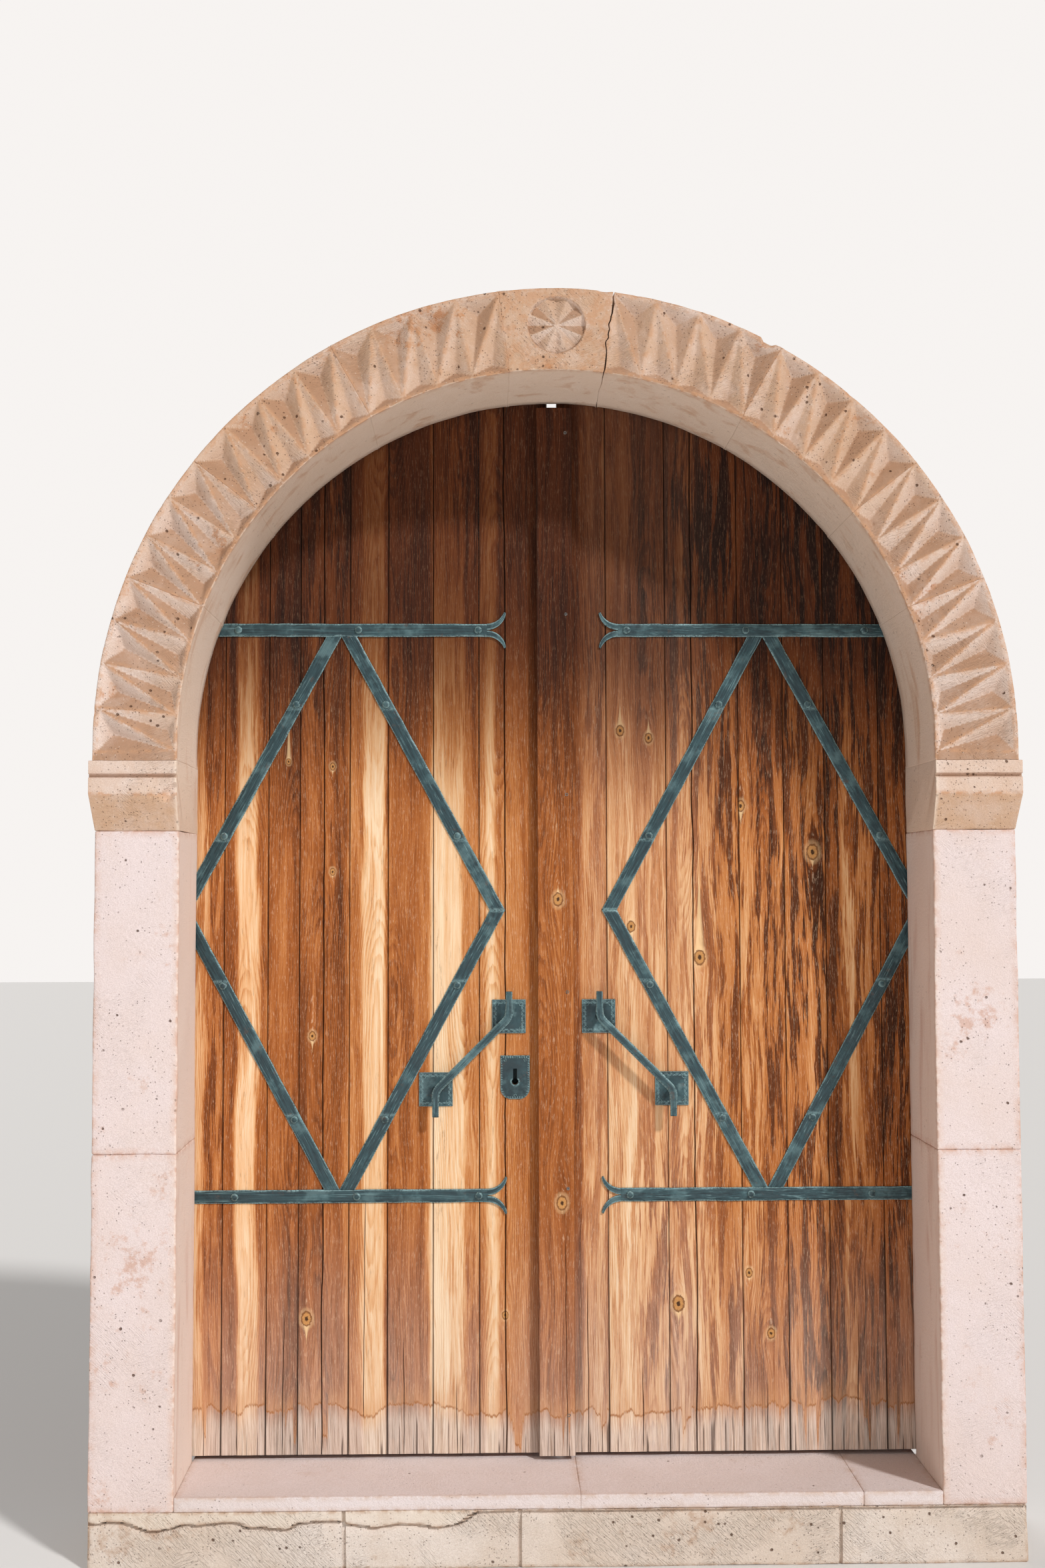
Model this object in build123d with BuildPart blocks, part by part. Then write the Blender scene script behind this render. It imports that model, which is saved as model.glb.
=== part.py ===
"""Double-leaf wooden entrance gate in its carved stone portal.

X runs to the right, Y into the building and Z up. The origin is the centre of the underside of the
footing, so the front of the gate looks along -Y. All sizes are in millimetres.
"""

import os
from math import atan2, cos, hypot, pi, radians, sin, sqrt

from build123d import *

# Stone portal
opening_half_width = 1000
springing_height = 1953
ring_width = 221
jamb_depth = 300
ring_projection = 45
sill_depth = 130
footing_height = 150
footing_joint_width = 8
footing_joint_depth = 14
footing_joints = (-560, -105, 732)
threshold_thickness = 36
threshold_joints = (54, 792)
threshold_arris = 4
jamb_joint_height = 880

# Arch ring and its carving
keystone_half_angle = 7.25
carving_end_angle = 91.2
bays_per_stone = (4, 4, 3, 4)
carving_margin = 7
carving_ridge = 4
outer_pit_share = 0.56
outer_pit_inset = 50
outer_pit_depth = 26
inner_pit_share = 0.43
inner_pit_inset = 28
inner_pit_depth = 18

# Rosette in the keystone
rosette_petals = 8
rosette_radius = 76
rosette_top_inset = 24
rosette_centre_depth = 5
rosette_ridge_depth = 5
rosette_valley_depth = 15

# Impost
stilt_height = 45
impost_overhang = 10
impost_upper_band = 35
impost_groove_height = 10
impost_groove_depth = 9
impost_lower_band = 43
impost_bevel_height = 95

# Leaves
swing_gap = 4
leaf_side_cover = 85
leaf_shoulder = 80
meeting_gap = 28
board_thickness = 30
board_gap = 2
board_arris = 2
board_bottom_gap = 12
ledge_bottom_gap = 5
ledge_thickness = 40
ledge_height = 120
ledge_end_inset = 30
ledge_meeting_inset = 24
ledge_arris = 6
board_widths = {
    "left": (161, 123, 88, 140, 108, 127, 129, 195),
    "right": (137, 169, 206, 128, 117, 154, 160),
}
board_cracks = {"left": {4: 67, 8: 73}, "right": {3: 76}}
crack_width = 3
crack_depth = 9

# Cover strip over the meeting gap
strip_left = -45
strip_width = 100
strip_thickness = 31
strip_arch_gap = 15
strip_relief = 1
strip_arris = 4
strip_screw_inset = 18
strip_screws_from_threshold = (122, 739, 1282, 1834)
strip_screws_from_crown = (608, 88)
strip_screw_radius = 5
strip_screw_sink = 1.5

# Straps and hinges
strap_width = 37
strap_thickness = 6
strap_top_rise = 350
strap_bottom_height = 717
fishtail_split = 186
fishtail_tip = 130
fishtail_spread = 52
fishtail_tip_width = 7
fishtail_crotch = 2
hinge_offset = 20
pin_radius = 8
pin_clearance = 0.08
pin_overrun = 8
shank_size = 18
shank_clearance = 0.3
spike_depth = 80

# Diamonds
diamond_inner_vertex = 136
diamond_edge_inset = 25
diamond_bar_width = 37
diamond_bolt_shares = (0.25, 0.73)

# Coach bolts
bolt_split_inset = 25
bolt_edge_inset = 196
bolts_per_strap = 3
bolt_head_radius = 10.5
bolt_head_height = 8
bolt_head_round = 3.5
bolt_radius = 4.5
bolt_clearance = 0.3
nut_radius = 10
nut_height = 8

# Handles
handle_inner_x = 126
handle_inner_height = 1213
handle_diamond_gap = 3
handle_outer_height = 1011
handle_stub_length = 72
handle_bar_width = 22
handle_bar_thickness = 10
handle_bar_round = 2
handle_standoff = 42
handle_post_radius = 8
handle_plate_size = 94
handle_plate_thickness = 4
nail_offset = 33
nail_radius = 4.5
nail_height = 2

# Lock
lock_x = -109
lock_plate_gap = 62
escutcheon_width = 82
escutcheon_height = 121
escutcheon_thickness = 3
escutcheon_round = 30
escutcheon_nails = ((-28, 48), (28, 48), (0, -50))
keyhole_slot_width = 11
keyhole_slot_top = 24
keyhole_bulb_radius = 9
keyhole_bulb_drop = 12
case_width = 150
case_height = 150
case_depth = 36
case_wall = 3
case_edge_gap = 6
case_rise = 20
lock_bolt_height = 30
lock_bolt_depth = 14
lock_bolt_length = 100
lock_bolt_tail = 30
lock_bolt_rise = 52
lock_bolt_recess = 2
lock_bolt_clearance = 0.5
keeper_width = 30
keeper_height = 74
keeper_edge_gap = 4
keeper_mouth_clearance = 3

# Shoot bolt
shoot_x = 110
shoot_radius = 7
shoot_overrun = 28
shoot_rest_gap = 6
shoot_clearance = 0.3
shoot_knob_height = 400
shoot_knob_radius = 6
shoot_knob_length = 46
shoot_ball_radius = 10
guide_width = 46
guide_depth = 24
guide_height = 30
socket_clearance = 2

# Depths of the layers, from the front to the rear
base_depth = jamb_depth + sill_depth
wall_y = -base_depth / 2
ring_y = wall_y - ring_projection
rear_y = wall_y + jamb_depth
strap_front_y = rear_y + swing_gap
board_front_y = strap_front_y + strap_thickness
board_rear_y = board_front_y + board_thickness
ledge_rear_y = board_rear_y + ledge_thickness
eye_radius = pin_radius + pin_clearance + strap_thickness
leaf_half_width = opening_half_width + leaf_side_cover
hinge_x = leaf_half_width + hinge_offset
hinge_y = strap_front_y + eye_radius
shoot_y = ledge_rear_y + guide_depth / 2

# Heights
threshold_z = footing_height + threshold_thickness
springing_z = threshold_z + springing_height
impost_top_z = springing_z - stilt_height
impost_front_height = impost_upper_band + impost_groove_height + impost_lower_band
impost_bottom_z = impost_top_z - impost_front_height - impost_bevel_height
strap_z = {"top": springing_z + strap_top_rise, "bottom": threshold_z + strap_bottom_height}
diamond_z = (strap_z["top"] + strap_z["bottom"]) / 2
board_bottom_z = threshold_z + board_bottom_gap
handle_inner_z = threshold_z + handle_inner_height
handle_outer_z = threshold_z + handle_outer_height
lock_z = handle_inner_z - handle_plate_size / 2 - lock_plate_gap - escutcheon_height / 2

# Radii about the springing centre
inner_radius = opening_half_width
outer_radius = opening_half_width + ring_width
leaf_top_radius = leaf_half_width + leaf_shoulder
strip_top_radius = inner_radius - strip_arch_gap
rosette_centre_radius = outer_radius - rosette_top_inset - rosette_radius
bay_angle = (carving_end_angle - keystone_half_angle) / sum(bays_per_stone)

# Diamonds, from the centre line of the gate
diamond_outer_vertex = leaf_half_width - diamond_edge_inset
diamond_centre = (diamond_inner_vertex + diamond_outer_vertex) / 2
diamond_half_width = (diamond_outer_vertex - diamond_inner_vertex) / 2
diamond_half_height = diamond_z - strap_z["bottom"] - strap_width / 2

# Width of a diamond's bar, measured level
bar_section = diamond_bar_width / cos(atan2(diamond_half_width, diamond_half_height))

# The outer plate of a handle stands close to the lower inner bar of the diamond
bar_run = (diamond_half_width - bar_section) / diamond_half_height
plate_top_drop = diamond_z - handle_outer_z - handle_plate_size / 2
handle_outer_x = diamond_inner_vertex + bar_run * plate_top_drop - handle_diamond_gap - handle_plate_size / 2

# Bolts of a strap, from the one behind its fork to the one nearest the hinge
bolt_first = fishtail_split + bolt_split_inset
bolt_pitch = (leaf_half_width - bolt_edge_inset - bolt_first) / (bolts_per_strap - 1)

# Rows shared by the pieces of a leaf
leaf_edges = {"left": (-leaf_half_width, -meeting_gap / 2), "right": (meeting_gap / 2, leaf_half_width)}
side_sign = {"left": -1, "right": 1}
ledge_z = {
    "top": strap_z["top"],
    "middle": strap_z["bottom"],
    "bottom": threshold_z + ledge_bottom_gap + ledge_height / 2,
}

os.makedirs("parts", exist_ok=True)


def front_plane(y):
    """Plane at depth y, seen from the front: local x is X, local y is Z, and it extrudes forwards."""
    return Plane(origin=(0, y, 0), x_dir=(1, 0, 0), z_dir=(0, -1, 0))


def finish(builder, name):
    """Label a finished piece and write its file."""
    builder.part.label = name
    export_step(builder.part, f"parts/{name}.step")


def ring_point(sign, radius, angle):
    """X and Z of a point of the arch, with the angle counted from the crown."""
    return (sign * radius * sin(radians(angle)), springing_z + radius * cos(radians(angle)))


def arc_height(radius, x):
    """Height of a circle about the springing centre, at x."""
    return springing_z + sqrt(radius**2 - x**2)


def shrink_triangle(points, inset):
    """Move the sides of a triangle of X, Z points inwards by the inset."""
    sides = [
        hypot(points[(i + 1) % 3][0] - points[(i + 2) % 3][0], points[(i + 1) % 3][1] - points[(i + 2) % 3][1])
        for i in range(3)
    ]
    perimeter = sum(sides)
    centre = [sum(side * point[axis] for side, point in zip(sides, points)) / perimeter for axis in (0, 1)]
    half = perimeter / 2
    in_radius = sqrt((half - sides[0]) * (half - sides[1]) * (half - sides[2]) / half)
    share = 1 - inset / in_radius
    return [tuple(c + share * (p - c) for p, c in zip(point, centre)) for point in points]


def cut_pit(triangle, sunk_point, depth):
    """Cut a three-sided pit: its rim lies in the ring's face and its point is sunk to the depth."""
    overshoot = 1.1
    rim = shrink_triangle(triangle, carving_ridge / 2)
    apex = (sunk_point[0], ring_y + depth, sunk_point[1])
    corners = [
        tuple(a + overshoot * (r - a) for r, a in zip((x, ring_y, z), apex))
        for x, z in rim
    ]
    ConvexPolyhedron([*corners, apex], mode=Mode.SUBTRACT)


def carve_bay(sign, bay):
    """Cut the two pits of one bay, counted from the keystone."""
    upper = keystone_half_angle + bay * bay_angle
    lower = upper + bay_angle
    outer = outer_radius - carving_margin
    inner = inner_radius + carving_margin
    outer_upper, outer_lower = (ring_point(sign, outer, angle) for angle in (upper, lower))
    inner_upper, inner_lower = (ring_point(sign, inner, angle) for angle in (upper, lower))
    outer_sunk = ring_point(sign, outer_radius - outer_pit_inset, upper + outer_pit_share * bay_angle)
    inner_sunk = ring_point(sign, inner_radius + inner_pit_inset, upper + inner_pit_share * bay_angle)
    cut_pit([outer_upper, outer_lower, inner_lower], outer_sunk, outer_pit_depth)
    cut_pit([inner_upper, inner_lower, outer_upper], inner_sunk, inner_pit_depth)


def cut_pintle_pocket(sign, z):
    """Cut the square pocket that holds a pintle's spike, open at the rear of the stone."""
    size = shank_size + 2 * shank_clearance
    with Locations((sign * hinge_x, rear_y, shank_z(z))):
        Box(size, 2 * (spike_depth + shank_clearance), size, mode=Mode.SUBTRACT)


def shank_z(z):
    """Height of a pintle's square shank, under the eye of the strap at height z."""
    return z - strap_width / 2 - shank_clearance - shank_size / 2


def make_keystone():
    with BuildPart() as keystone:
        with BuildSketch(front_plane(rear_y)):
            with BuildLine():
                corners = [ring_point(sign, outer_radius, keystone_half_angle) for sign in (-1, 1)]
                feet = [ring_point(sign, inner_radius, keystone_half_angle) for sign in (-1, 1)]
                ThreePointArc(corners[0], ring_point(1, outer_radius, 0), corners[1])
                Line(corners[1], feet[1])
                ThreePointArc(feet[1], ring_point(1, inner_radius, 0), feet[0])
                Line(feet[0], corners[0])
            make_face()
        extrude(amount=jamb_depth + ring_projection)
        carve_rosette()
    finish(keystone, "keystone")


def carve_rosette():
    """Cut the sunk disc whose floor is folded into petals, each with a ridge along its middle."""
    centre_z = springing_z + rosette_centre_radius
    facets = 2 * rosette_petals
    rim = []
    for step in range(facets):
        angle = 2 * pi * step / facets
        depth = rosette_valley_depth if step % 2 == 0 else rosette_ridge_depth
        rim.append((rosette_radius * cos(angle), centre_z + rosette_radius * sin(angle), depth))
    front = ring_y - 1
    for step in range(facets):
        first, second = rim[step], rim[(step + 1) % facets]
        ConvexPolyhedron(
            [
                (0, front, centre_z),
                (first[0], front, first[1]),
                (second[0], front, second[1]),
                (0, ring_y + rosette_centre_depth, centre_z),
                (first[0], ring_y + first[2], first[1]),
                (second[0], ring_y + second[2], second[1]),
            ],
            mode=Mode.SUBTRACT,
        )


def make_voussoirs(side):
    """The carved ring stones of one side, numbered from the keystone down to the impost."""
    sign = side_sign[side]
    first_bay = 0
    for number, bays in enumerate(bays_per_stone, start=1):
        last_bay = first_bay + bays
        is_lowest = number == len(bays_per_stone)
        upper = keystone_half_angle + first_bay * bay_angle
        lower = 90 if is_lowest else keystone_half_angle + last_bay * bay_angle
        middle = (upper + lower) / 2
        outer = [ring_point(sign, outer_radius, angle) for angle in (upper, middle, lower)]
        inner = [ring_point(sign, inner_radius, angle) for angle in (upper, middle, lower)]
        drop = stilt_height if is_lowest else 0
        with BuildPart() as voussoir:
            with BuildSketch(front_plane(rear_y)):
                with BuildLine():
                    ThreePointArc(*outer)
                    if is_lowest:
                        Polyline(
                            outer[2],
                            (outer[2][0], outer[2][1] - drop),
                            (inner[2][0], inner[2][1] - drop),
                            inner[2],
                        )
                    else:
                        Line(outer[2], inner[2])
                    ThreePointArc(*reversed(inner))
                    Line(inner[0], outer[0])
                make_face()
            extrude(amount=jamb_depth + ring_projection)
            for bay in range(first_bay, last_bay):
                carve_bay(sign, bay)
            if is_lowest:
                cut_pintle_pocket(sign, strap_z["top"])
        finish(voussoir, f"voussoir_{side}_{number}")
        first_bay = last_bay


def make_impost(side):
    sign = side_sign[side]
    inside_x = sign * inner_radius
    outside_x = sign * (outer_radius + impost_overhang)
    groove_top_z = impost_top_z - impost_upper_band
    groove_bottom_z = groove_top_z - impost_groove_height
    band_bottom_z = groove_bottom_z - impost_lower_band
    with BuildPart() as impost:
        with BuildSketch(Plane.YZ.offset(min(inside_x, outside_x))):
            with BuildLine():
                Polyline(
                    (rear_y, impost_top_z),
                    (ring_y, impost_top_z),
                    (ring_y, groove_top_z),
                    (ring_y + impost_groove_depth, groove_top_z),
                    (ring_y + impost_groove_depth, groove_bottom_z),
                    (ring_y, groove_bottom_z),
                    (ring_y, band_bottom_z),
                    (wall_y, impost_bottom_z),
                    (rear_y, impost_bottom_z),
                    close=True,
                )
            make_face()
        extrude(amount=ring_width + impost_overhang)
        with BuildSketch(front_plane(rear_y)):
            with BuildLine():
                Polyline(
                    (outside_x, band_bottom_z),
                    (outside_x - sign * impost_overhang, impost_bottom_z),
                    (outside_x, impost_bottom_z),
                    close=True,
                )
            make_face()
        extrude(amount=jamb_depth + ring_projection, mode=Mode.SUBTRACT)
    finish(impost, f"impost_{side}")


def make_jamb(side):
    """Lower and upper jamb stone. The lower one holds the spike of the bottom pintle."""
    sign = side_sign[side]
    joint_z = threshold_z + jamb_joint_height
    spans = {"lower": (footing_height, joint_z), "upper": (joint_z, impost_bottom_z)}
    for level, (low_z, high_z) in spans.items():
        with BuildPart() as jamb_stone:
            centre = (sign * (inner_radius + ring_width / 2), (wall_y + rear_y) / 2, (low_z + high_z) / 2)
            with Locations(centre):
                Box(ring_width, jamb_depth, high_z - low_z)
            if low_z < strap_z["bottom"] < high_z:
                cut_pintle_pocket(sign, strap_z["bottom"])
        finish(jamb_stone, f"jamb_{side}_{level}")


def make_threshold():
    """The threshold slabs between the jambs, with the shoot bolt's socket in the middle one."""
    edges = (-inner_radius, *threshold_joints, inner_radius)
    for number, (start, end) in enumerate(zip(edges, edges[1:]), start=1):
        with BuildPart() as slab:
            with Locations(((start + end) / 2, 0, threshold_z - threshold_thickness / 2)):
                Box(end - start, base_depth, threshold_thickness)
            front_edge = slab.edges().filter_by(Axis.X).group_by(Axis.Z)[-1].sort_by(Axis.Y)[0]
            chamfer(front_edge, threshold_arris)
            if start < shoot_x < end:
                socket = 2 * (shoot_radius + socket_clearance)
                with Locations((shoot_x, shoot_y, threshold_z)):
                    Box(socket, socket, 2 * threshold_thickness, mode=Mode.SUBTRACT)
        finish(slab, f"threshold_slab_{number}")


def make_footing():
    with BuildPart() as footing:
        with Locations((0, 0, footing_height / 2)):
            Box(2 * outer_radius, base_depth, footing_height)
        for x in footing_joints:
            with Locations((x, wall_y, footing_height / 2)):
                Box(footing_joint_width, 2 * footing_joint_depth, footing_height, mode=Mode.SUBTRACT)
    finish(footing, "footing_course")


def strap_bolt_points(side):
    """X and Z of the bolts through the two straps of a leaf."""
    sign = side_sign[side]
    return [
        (sign * (bolt_first + step * bolt_pitch), z)
        for z in strap_z.values()
        for step in range(bolts_per_strap)
    ]


def diamond_bars(side):
    """The four bars of a diamond: X and Z of the middle of each foot and of each vertex."""
    sign = side_sign[side]
    feet = {
        "top": strap_z["top"] - strap_width / 2,
        "bottom": strap_z["bottom"] + strap_width / 2,
    }
    bars = []
    for direction in (-1, 1):
        reach = diamond_half_width - bar_section / 2
        for foot_z in feet.values():
            foot = (sign * (diamond_centre + direction * bar_section / 2), foot_z)
            vertex = (sign * (diamond_centre + direction * reach), diamond_z)
            bars.append((foot, vertex))
    return bars


def diamond_bolt_points(side):
    """X and Z of the bolts through the bars of a diamond."""
    points = []
    for foot, vertex in diamond_bars(side):
        for share in diamond_bolt_shares:
            points.append(tuple(f + share * (v - f) for f, v in zip(foot, vertex)))
    return points


def bore_for_bolts(points, span=None):
    """Bore the bolts' holes right through, at the X, Z points that lie in the span of X."""
    radius = bolt_radius + bolt_clearance
    for x, z in points:
        if span is None or span[0] - radius < x < span[1] + radius:
            with Locations((x, board_rear_y, z)):
                Cylinder(radius, 4 * ledge_thickness, rotation=(90, 0, 0), mode=Mode.SUBTRACT)


def board_edges(side):
    """Edges of a leaf's boards from the left, with their uneven widths eased to fill the leaf."""
    start, end = leaf_edges[side]
    ease = (end - start) / sum(board_widths[side])
    edges = [start]
    for width in board_widths[side]:
        edges.append(edges[-1] + ease * width)
    return edges


def make_boards(side):
    """The vertical boards of one leaf, numbered from the left."""
    edges = board_edges(side)
    bolt_points = strap_bolt_points(side) + diamond_bolt_points(side)
    for number, (start, end) in enumerate(zip(edges, edges[1:]), start=1):
        left_x = start if start == edges[0] else start + board_gap / 2
        right_x = end if end == edges[-1] else end - board_gap / 2
        middle_x = (left_x + right_x) / 2
        with BuildPart() as board:
            with BuildSketch(front_plane(board_rear_y)):
                with BuildLine():
                    top_left = (left_x, arc_height(leaf_top_radius, left_x))
                    top_right = (right_x, arc_height(leaf_top_radius, right_x))
                    ThreePointArc(top_left, (middle_x, arc_height(leaf_top_radius, middle_x)), top_right)
                    Polyline(top_right, (right_x, board_bottom_z), (left_x, board_bottom_z), top_left)
                make_face()
            extrude(amount=board_thickness)
            chamfer(board.faces().sort_by(Axis.Y)[0].edges().filter_by(Axis.Z), board_arris)
            if number in board_cracks[side]:
                with Locations((start + board_cracks[side][number], board_front_y, springing_z)):
                    Box(crack_width, 2 * crack_depth, 4 * springing_height, mode=Mode.SUBTRACT)
            bore_for_bolts(bolt_points, (left_x, right_x))
            if left_x < lock_x < right_x:
                with BuildSketch(front_plane(board_rear_y)):
                    with Locations((lock_x, lock_z)):
                        draw_keyhole()
                extrude(amount=board_thickness, mode=Mode.SUBTRACT)
        finish(board, f"board_{side}_{number}")


def draw_keyhole():
    """Sketch the keyhole: a round bulb with a slot above it."""
    slot_height = keyhole_slot_top + keyhole_bulb_drop
    with Locations((0, -keyhole_bulb_drop)):
        Circle(keyhole_bulb_radius)
        Rectangle(keyhole_slot_width, slot_height, align=(Align.CENTER, Align.MIN))


def make_ledges(side):
    """The horizontal ledges across the back of one leaf."""
    sign = side_sign[side]
    outer_x = leaf_half_width - ledge_end_inset
    inner_x = meeting_gap / 2 + ledge_meeting_inset
    for level, z in ledge_z.items():
        with BuildPart() as ledge:
            with Locations((sign * (outer_x + inner_x) / 2, (board_rear_y + ledge_rear_y) / 2, z)):
                Box(outer_x - inner_x, ledge_thickness, ledge_height)
            rear_edges = ledge.faces().sort_by(Axis.Y)[-1].edges()
            chamfer(rear_edges, ledge_arris)
            bore_for_bolts([point for point in strap_bolt_points(side) if point[1] == z])
        finish(ledge, f"ledge_{side}_{level}")


def make_cover_strip():
    """The strip screwed to the right leaf. It covers the meeting gap and laps over the left leaf."""
    strip_right = strip_left + strip_width
    middle_x = (strip_left + strip_right) / 2
    screw_x = strip_right - strip_screw_inset
    lap_width = -meeting_gap / 2 - strip_left
    with BuildPart() as cover_strip:
        with BuildSketch(front_plane(board_front_y)):
            with BuildLine():
                top_left = (strip_left, arc_height(strip_top_radius, strip_left))
                top_right = (strip_right, arc_height(strip_top_radius, strip_right))
                ThreePointArc(top_left, (middle_x, arc_height(strip_top_radius, middle_x)), top_right)
                Polyline(top_right, (strip_right, board_bottom_z), (strip_left, board_bottom_z), top_left)
            make_face()
        extrude(amount=strip_thickness)
        chamfer(cover_strip.faces().sort_by(Axis.Y)[0].edges().filter_by(Axis.Z), strip_arris)
        with Locations((strip_left + lap_width / 2, board_front_y, springing_z)):
            Box(lap_width + meeting_gap / 2, 2 * strip_relief, 4 * springing_height, mode=Mode.SUBTRACT)
        screws_z = [threshold_z + height for height in strip_screws_from_threshold]
        screws_z += [springing_z + inner_radius - drop for drop in strip_screws_from_crown]
        for z in screws_z:
            with Locations((screw_x, board_front_y - strip_thickness, z)):
                Cylinder(strip_screw_radius, 2 * strip_screw_sink, rotation=(90, 0, 0), mode=Mode.SUBTRACT)
    finish(cover_strip, "cover_strip")


def make_straps(side):
    """The hinge straps of one leaf: a forked tail at the meeting side and a rolled eye at the hinge."""
    sign = side_sign[side]
    half = strap_width / 2
    for level, z in strap_z.items():
        with BuildPart() as strap:
            with BuildSketch(front_plane(board_front_y)):
                with BuildLine():
                    Polyline(
                        (sign * fishtail_split, z + half),
                        (sign * leaf_half_width, z + half),
                        (sign * leaf_half_width, z - half),
                        (sign * fishtail_split, z - half),
                        close=True,
                    )
                make_face()
                for up in (-1, 1):
                    with BuildLine():
                        outer = TangentArc(
                            (sign * fishtail_split, z + up * half),
                            (sign * (fishtail_tip + fishtail_tip_width), z + up * fishtail_spread),
                            tangent=(-sign, 0),
                        )
                        inner = TangentArc(
                            (sign * fishtail_split, z + up * fishtail_crotch / 2),
                            (sign * fishtail_tip, z + up * (fishtail_spread - fishtail_tip_width)),
                            tangent=(-sign, 0),
                        )
                        Line(outer @ 1, inner @ 1)
                        Line(outer @ 0, inner @ 0)
                    make_face()
            extrude(amount=strap_thickness)
            with BuildSketch(Plane.XY.offset(z - half)):
                with BuildLine():
                    bar_end = (sign * leaf_half_width, board_front_y)
                    roll_start = (sign * hinge_x, strap_front_y)
                    roll_reach = sqrt(eye_radius**2 - (hinge_y - board_front_y) ** 2)
                    roll_end = (sign * (hinge_x - roll_reach), board_front_y)
                    roll_middle = (sign * (hinge_x + eye_radius * cos(pi / 3)), hinge_y + eye_radius * sin(pi / 3))
                    Polyline(roll_end, bar_end, (bar_end[0], strap_front_y), roll_start)
                    ThreePointArc(roll_start, roll_middle, roll_end)
                make_face()
                with Locations((sign * hinge_x, hinge_y)):
                    Circle(pin_radius + pin_clearance, mode=Mode.SUBTRACT)
            extrude(amount=strap_width)
            bore_for_bolts([point for point in strap_bolt_points(side) if point[1] == z])
        finish(strap, f"strap_{side}_{level}")


def make_diamond(side):
    """The two bent bars of a diamond. Their feet stand on the straps."""
    sign = side_sign[side]
    top_z = strap_z["top"] - strap_width / 2
    bottom_z = strap_z["bottom"] + strap_width / 2
    for name, direction in (("inner", -1), ("outer", 1)):
        foot_x = diamond_centre + direction * bar_section
        vertex_x = diamond_centre + direction * diamond_half_width
        notch_x = vertex_x - direction * bar_section
        with BuildPart() as bar:
            with BuildSketch(front_plane(board_front_y)):
                with BuildLine():
                    Polyline(
                        (sign * diamond_centre, top_z),
                        (sign * foot_x, top_z),
                        (sign * vertex_x, diamond_z),
                        (sign * foot_x, bottom_z),
                        (sign * diamond_centre, bottom_z),
                        (sign * notch_x, diamond_z),
                        close=True,
                    )
                make_face()
            extrude(amount=strap_thickness)
            bore_for_bolts(
                [
                    point
                    for point in diamond_bolt_points(side)
                    if (abs(point[0]) - diamond_centre) * direction > 0
                ]
            )
        finish(bar, f"diamond_{side}_{name}")


def add_bolt(x, z, nut_y):
    """One coach bolt: its head on the iron, its shank through the wood, its hexagonal nut at depth nut_y."""
    length = nut_y + nut_height - strap_front_y
    with Locations(Plane(origin=(x, strap_front_y, z), x_dir=(1, 0, 0), z_dir=(0, -1, 0))):
        Cylinder(bolt_head_radius, bolt_head_height, align=(Align.CENTER, Align.CENTER, Align.MIN))
        Cylinder(bolt_radius, length, align=(Align.CENTER, Align.CENTER, Align.MAX))
    with BuildSketch(front_plane(nut_y + nut_height)) as nut:
        with Locations((x, z)):
            RegularPolygon(nut_radius, 6)
    extrude(nut.sketch, amount=nut_height)


def make_bolts(side):
    with BuildPart() as bolts:
        for x, z in strap_bolt_points(side):
            add_bolt(x, z, ledge_rear_y)
        for x, z in diamond_bolt_points(side):
            add_bolt(x, z, board_rear_y)
        head_rims = bolts.edges().filter_by(GeomType.CIRCLE).group_by(Axis.Y)[0]
        fillet(head_rims, bolt_head_round)
    finish(bolts, f"bolts_{side}")


def make_handle(side):
    """A forged pull: a bent bar on two posts, each riveted to a square plate with four nails."""
    sign = side_sign[side]
    inner_bend = (sign * handle_inner_x, handle_inner_z)
    outer_bend = (sign * handle_outer_x, handle_outer_z)
    bar_rear_y = board_front_y - handle_standoff
    plate_front_y = board_front_y - handle_plate_thickness
    nails = [(a * nail_offset, b * nail_offset) for a in (-1, 1) for b in (-1, 1)]
    with BuildPart() as handle:
        with BuildSketch(front_plane(bar_rear_y)):
            with BuildLine() as route:
                Polyline(
                    (inner_bend[0], handle_inner_z + handle_stub_length),
                    inner_bend,
                    outer_bend,
                    (outer_bend[0], handle_outer_z - handle_stub_length),
                )
            trace(route.line, line_width=handle_bar_width)
        extrude(amount=handle_bar_thickness)
        fillet(handle.faces().sort_by(Axis.Y)[0].edges(), handle_bar_round)
        for x, z in (inner_bend, outer_bend):
            with BuildSketch(front_plane(board_front_y)):
                with Locations((x, z)):
                    Rectangle(handle_plate_size, handle_plate_size)
            extrude(amount=handle_plate_thickness)
            with BuildSketch(front_plane(board_front_y)):
                with Locations((x, z)):
                    Circle(handle_post_radius)
            extrude(amount=handle_standoff)
            with BuildSketch(front_plane(plate_front_y)):
                for dx, dz in nails:
                    with Locations((x + dx, z + dz)):
                        Circle(nail_radius)
            extrude(amount=nail_height)
    finish(handle, f"handle_{side}")


def make_escutcheon():
    with BuildPart() as escutcheon:
        with BuildSketch(front_plane(board_front_y)) as outline:
            with Locations((lock_x, lock_z)):
                Rectangle(escutcheon_width, escutcheon_height)
            fillet(outline.vertices().group_by(Axis.Z)[0], escutcheon_round)
        extrude(amount=escutcheon_thickness)
        with BuildSketch(front_plane(board_front_y)):
            with Locations((lock_x, lock_z)):
                draw_keyhole()
        extrude(amount=escutcheon_thickness, mode=Mode.SUBTRACT)
        with BuildSketch(front_plane(board_front_y - escutcheon_thickness)):
            for dx, dz in escutcheon_nails:
                with Locations((lock_x + dx, lock_z + dz)):
                    Circle(nail_radius)
        extrude(amount=nail_height)
    finish(escutcheon, "escutcheon")


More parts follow.
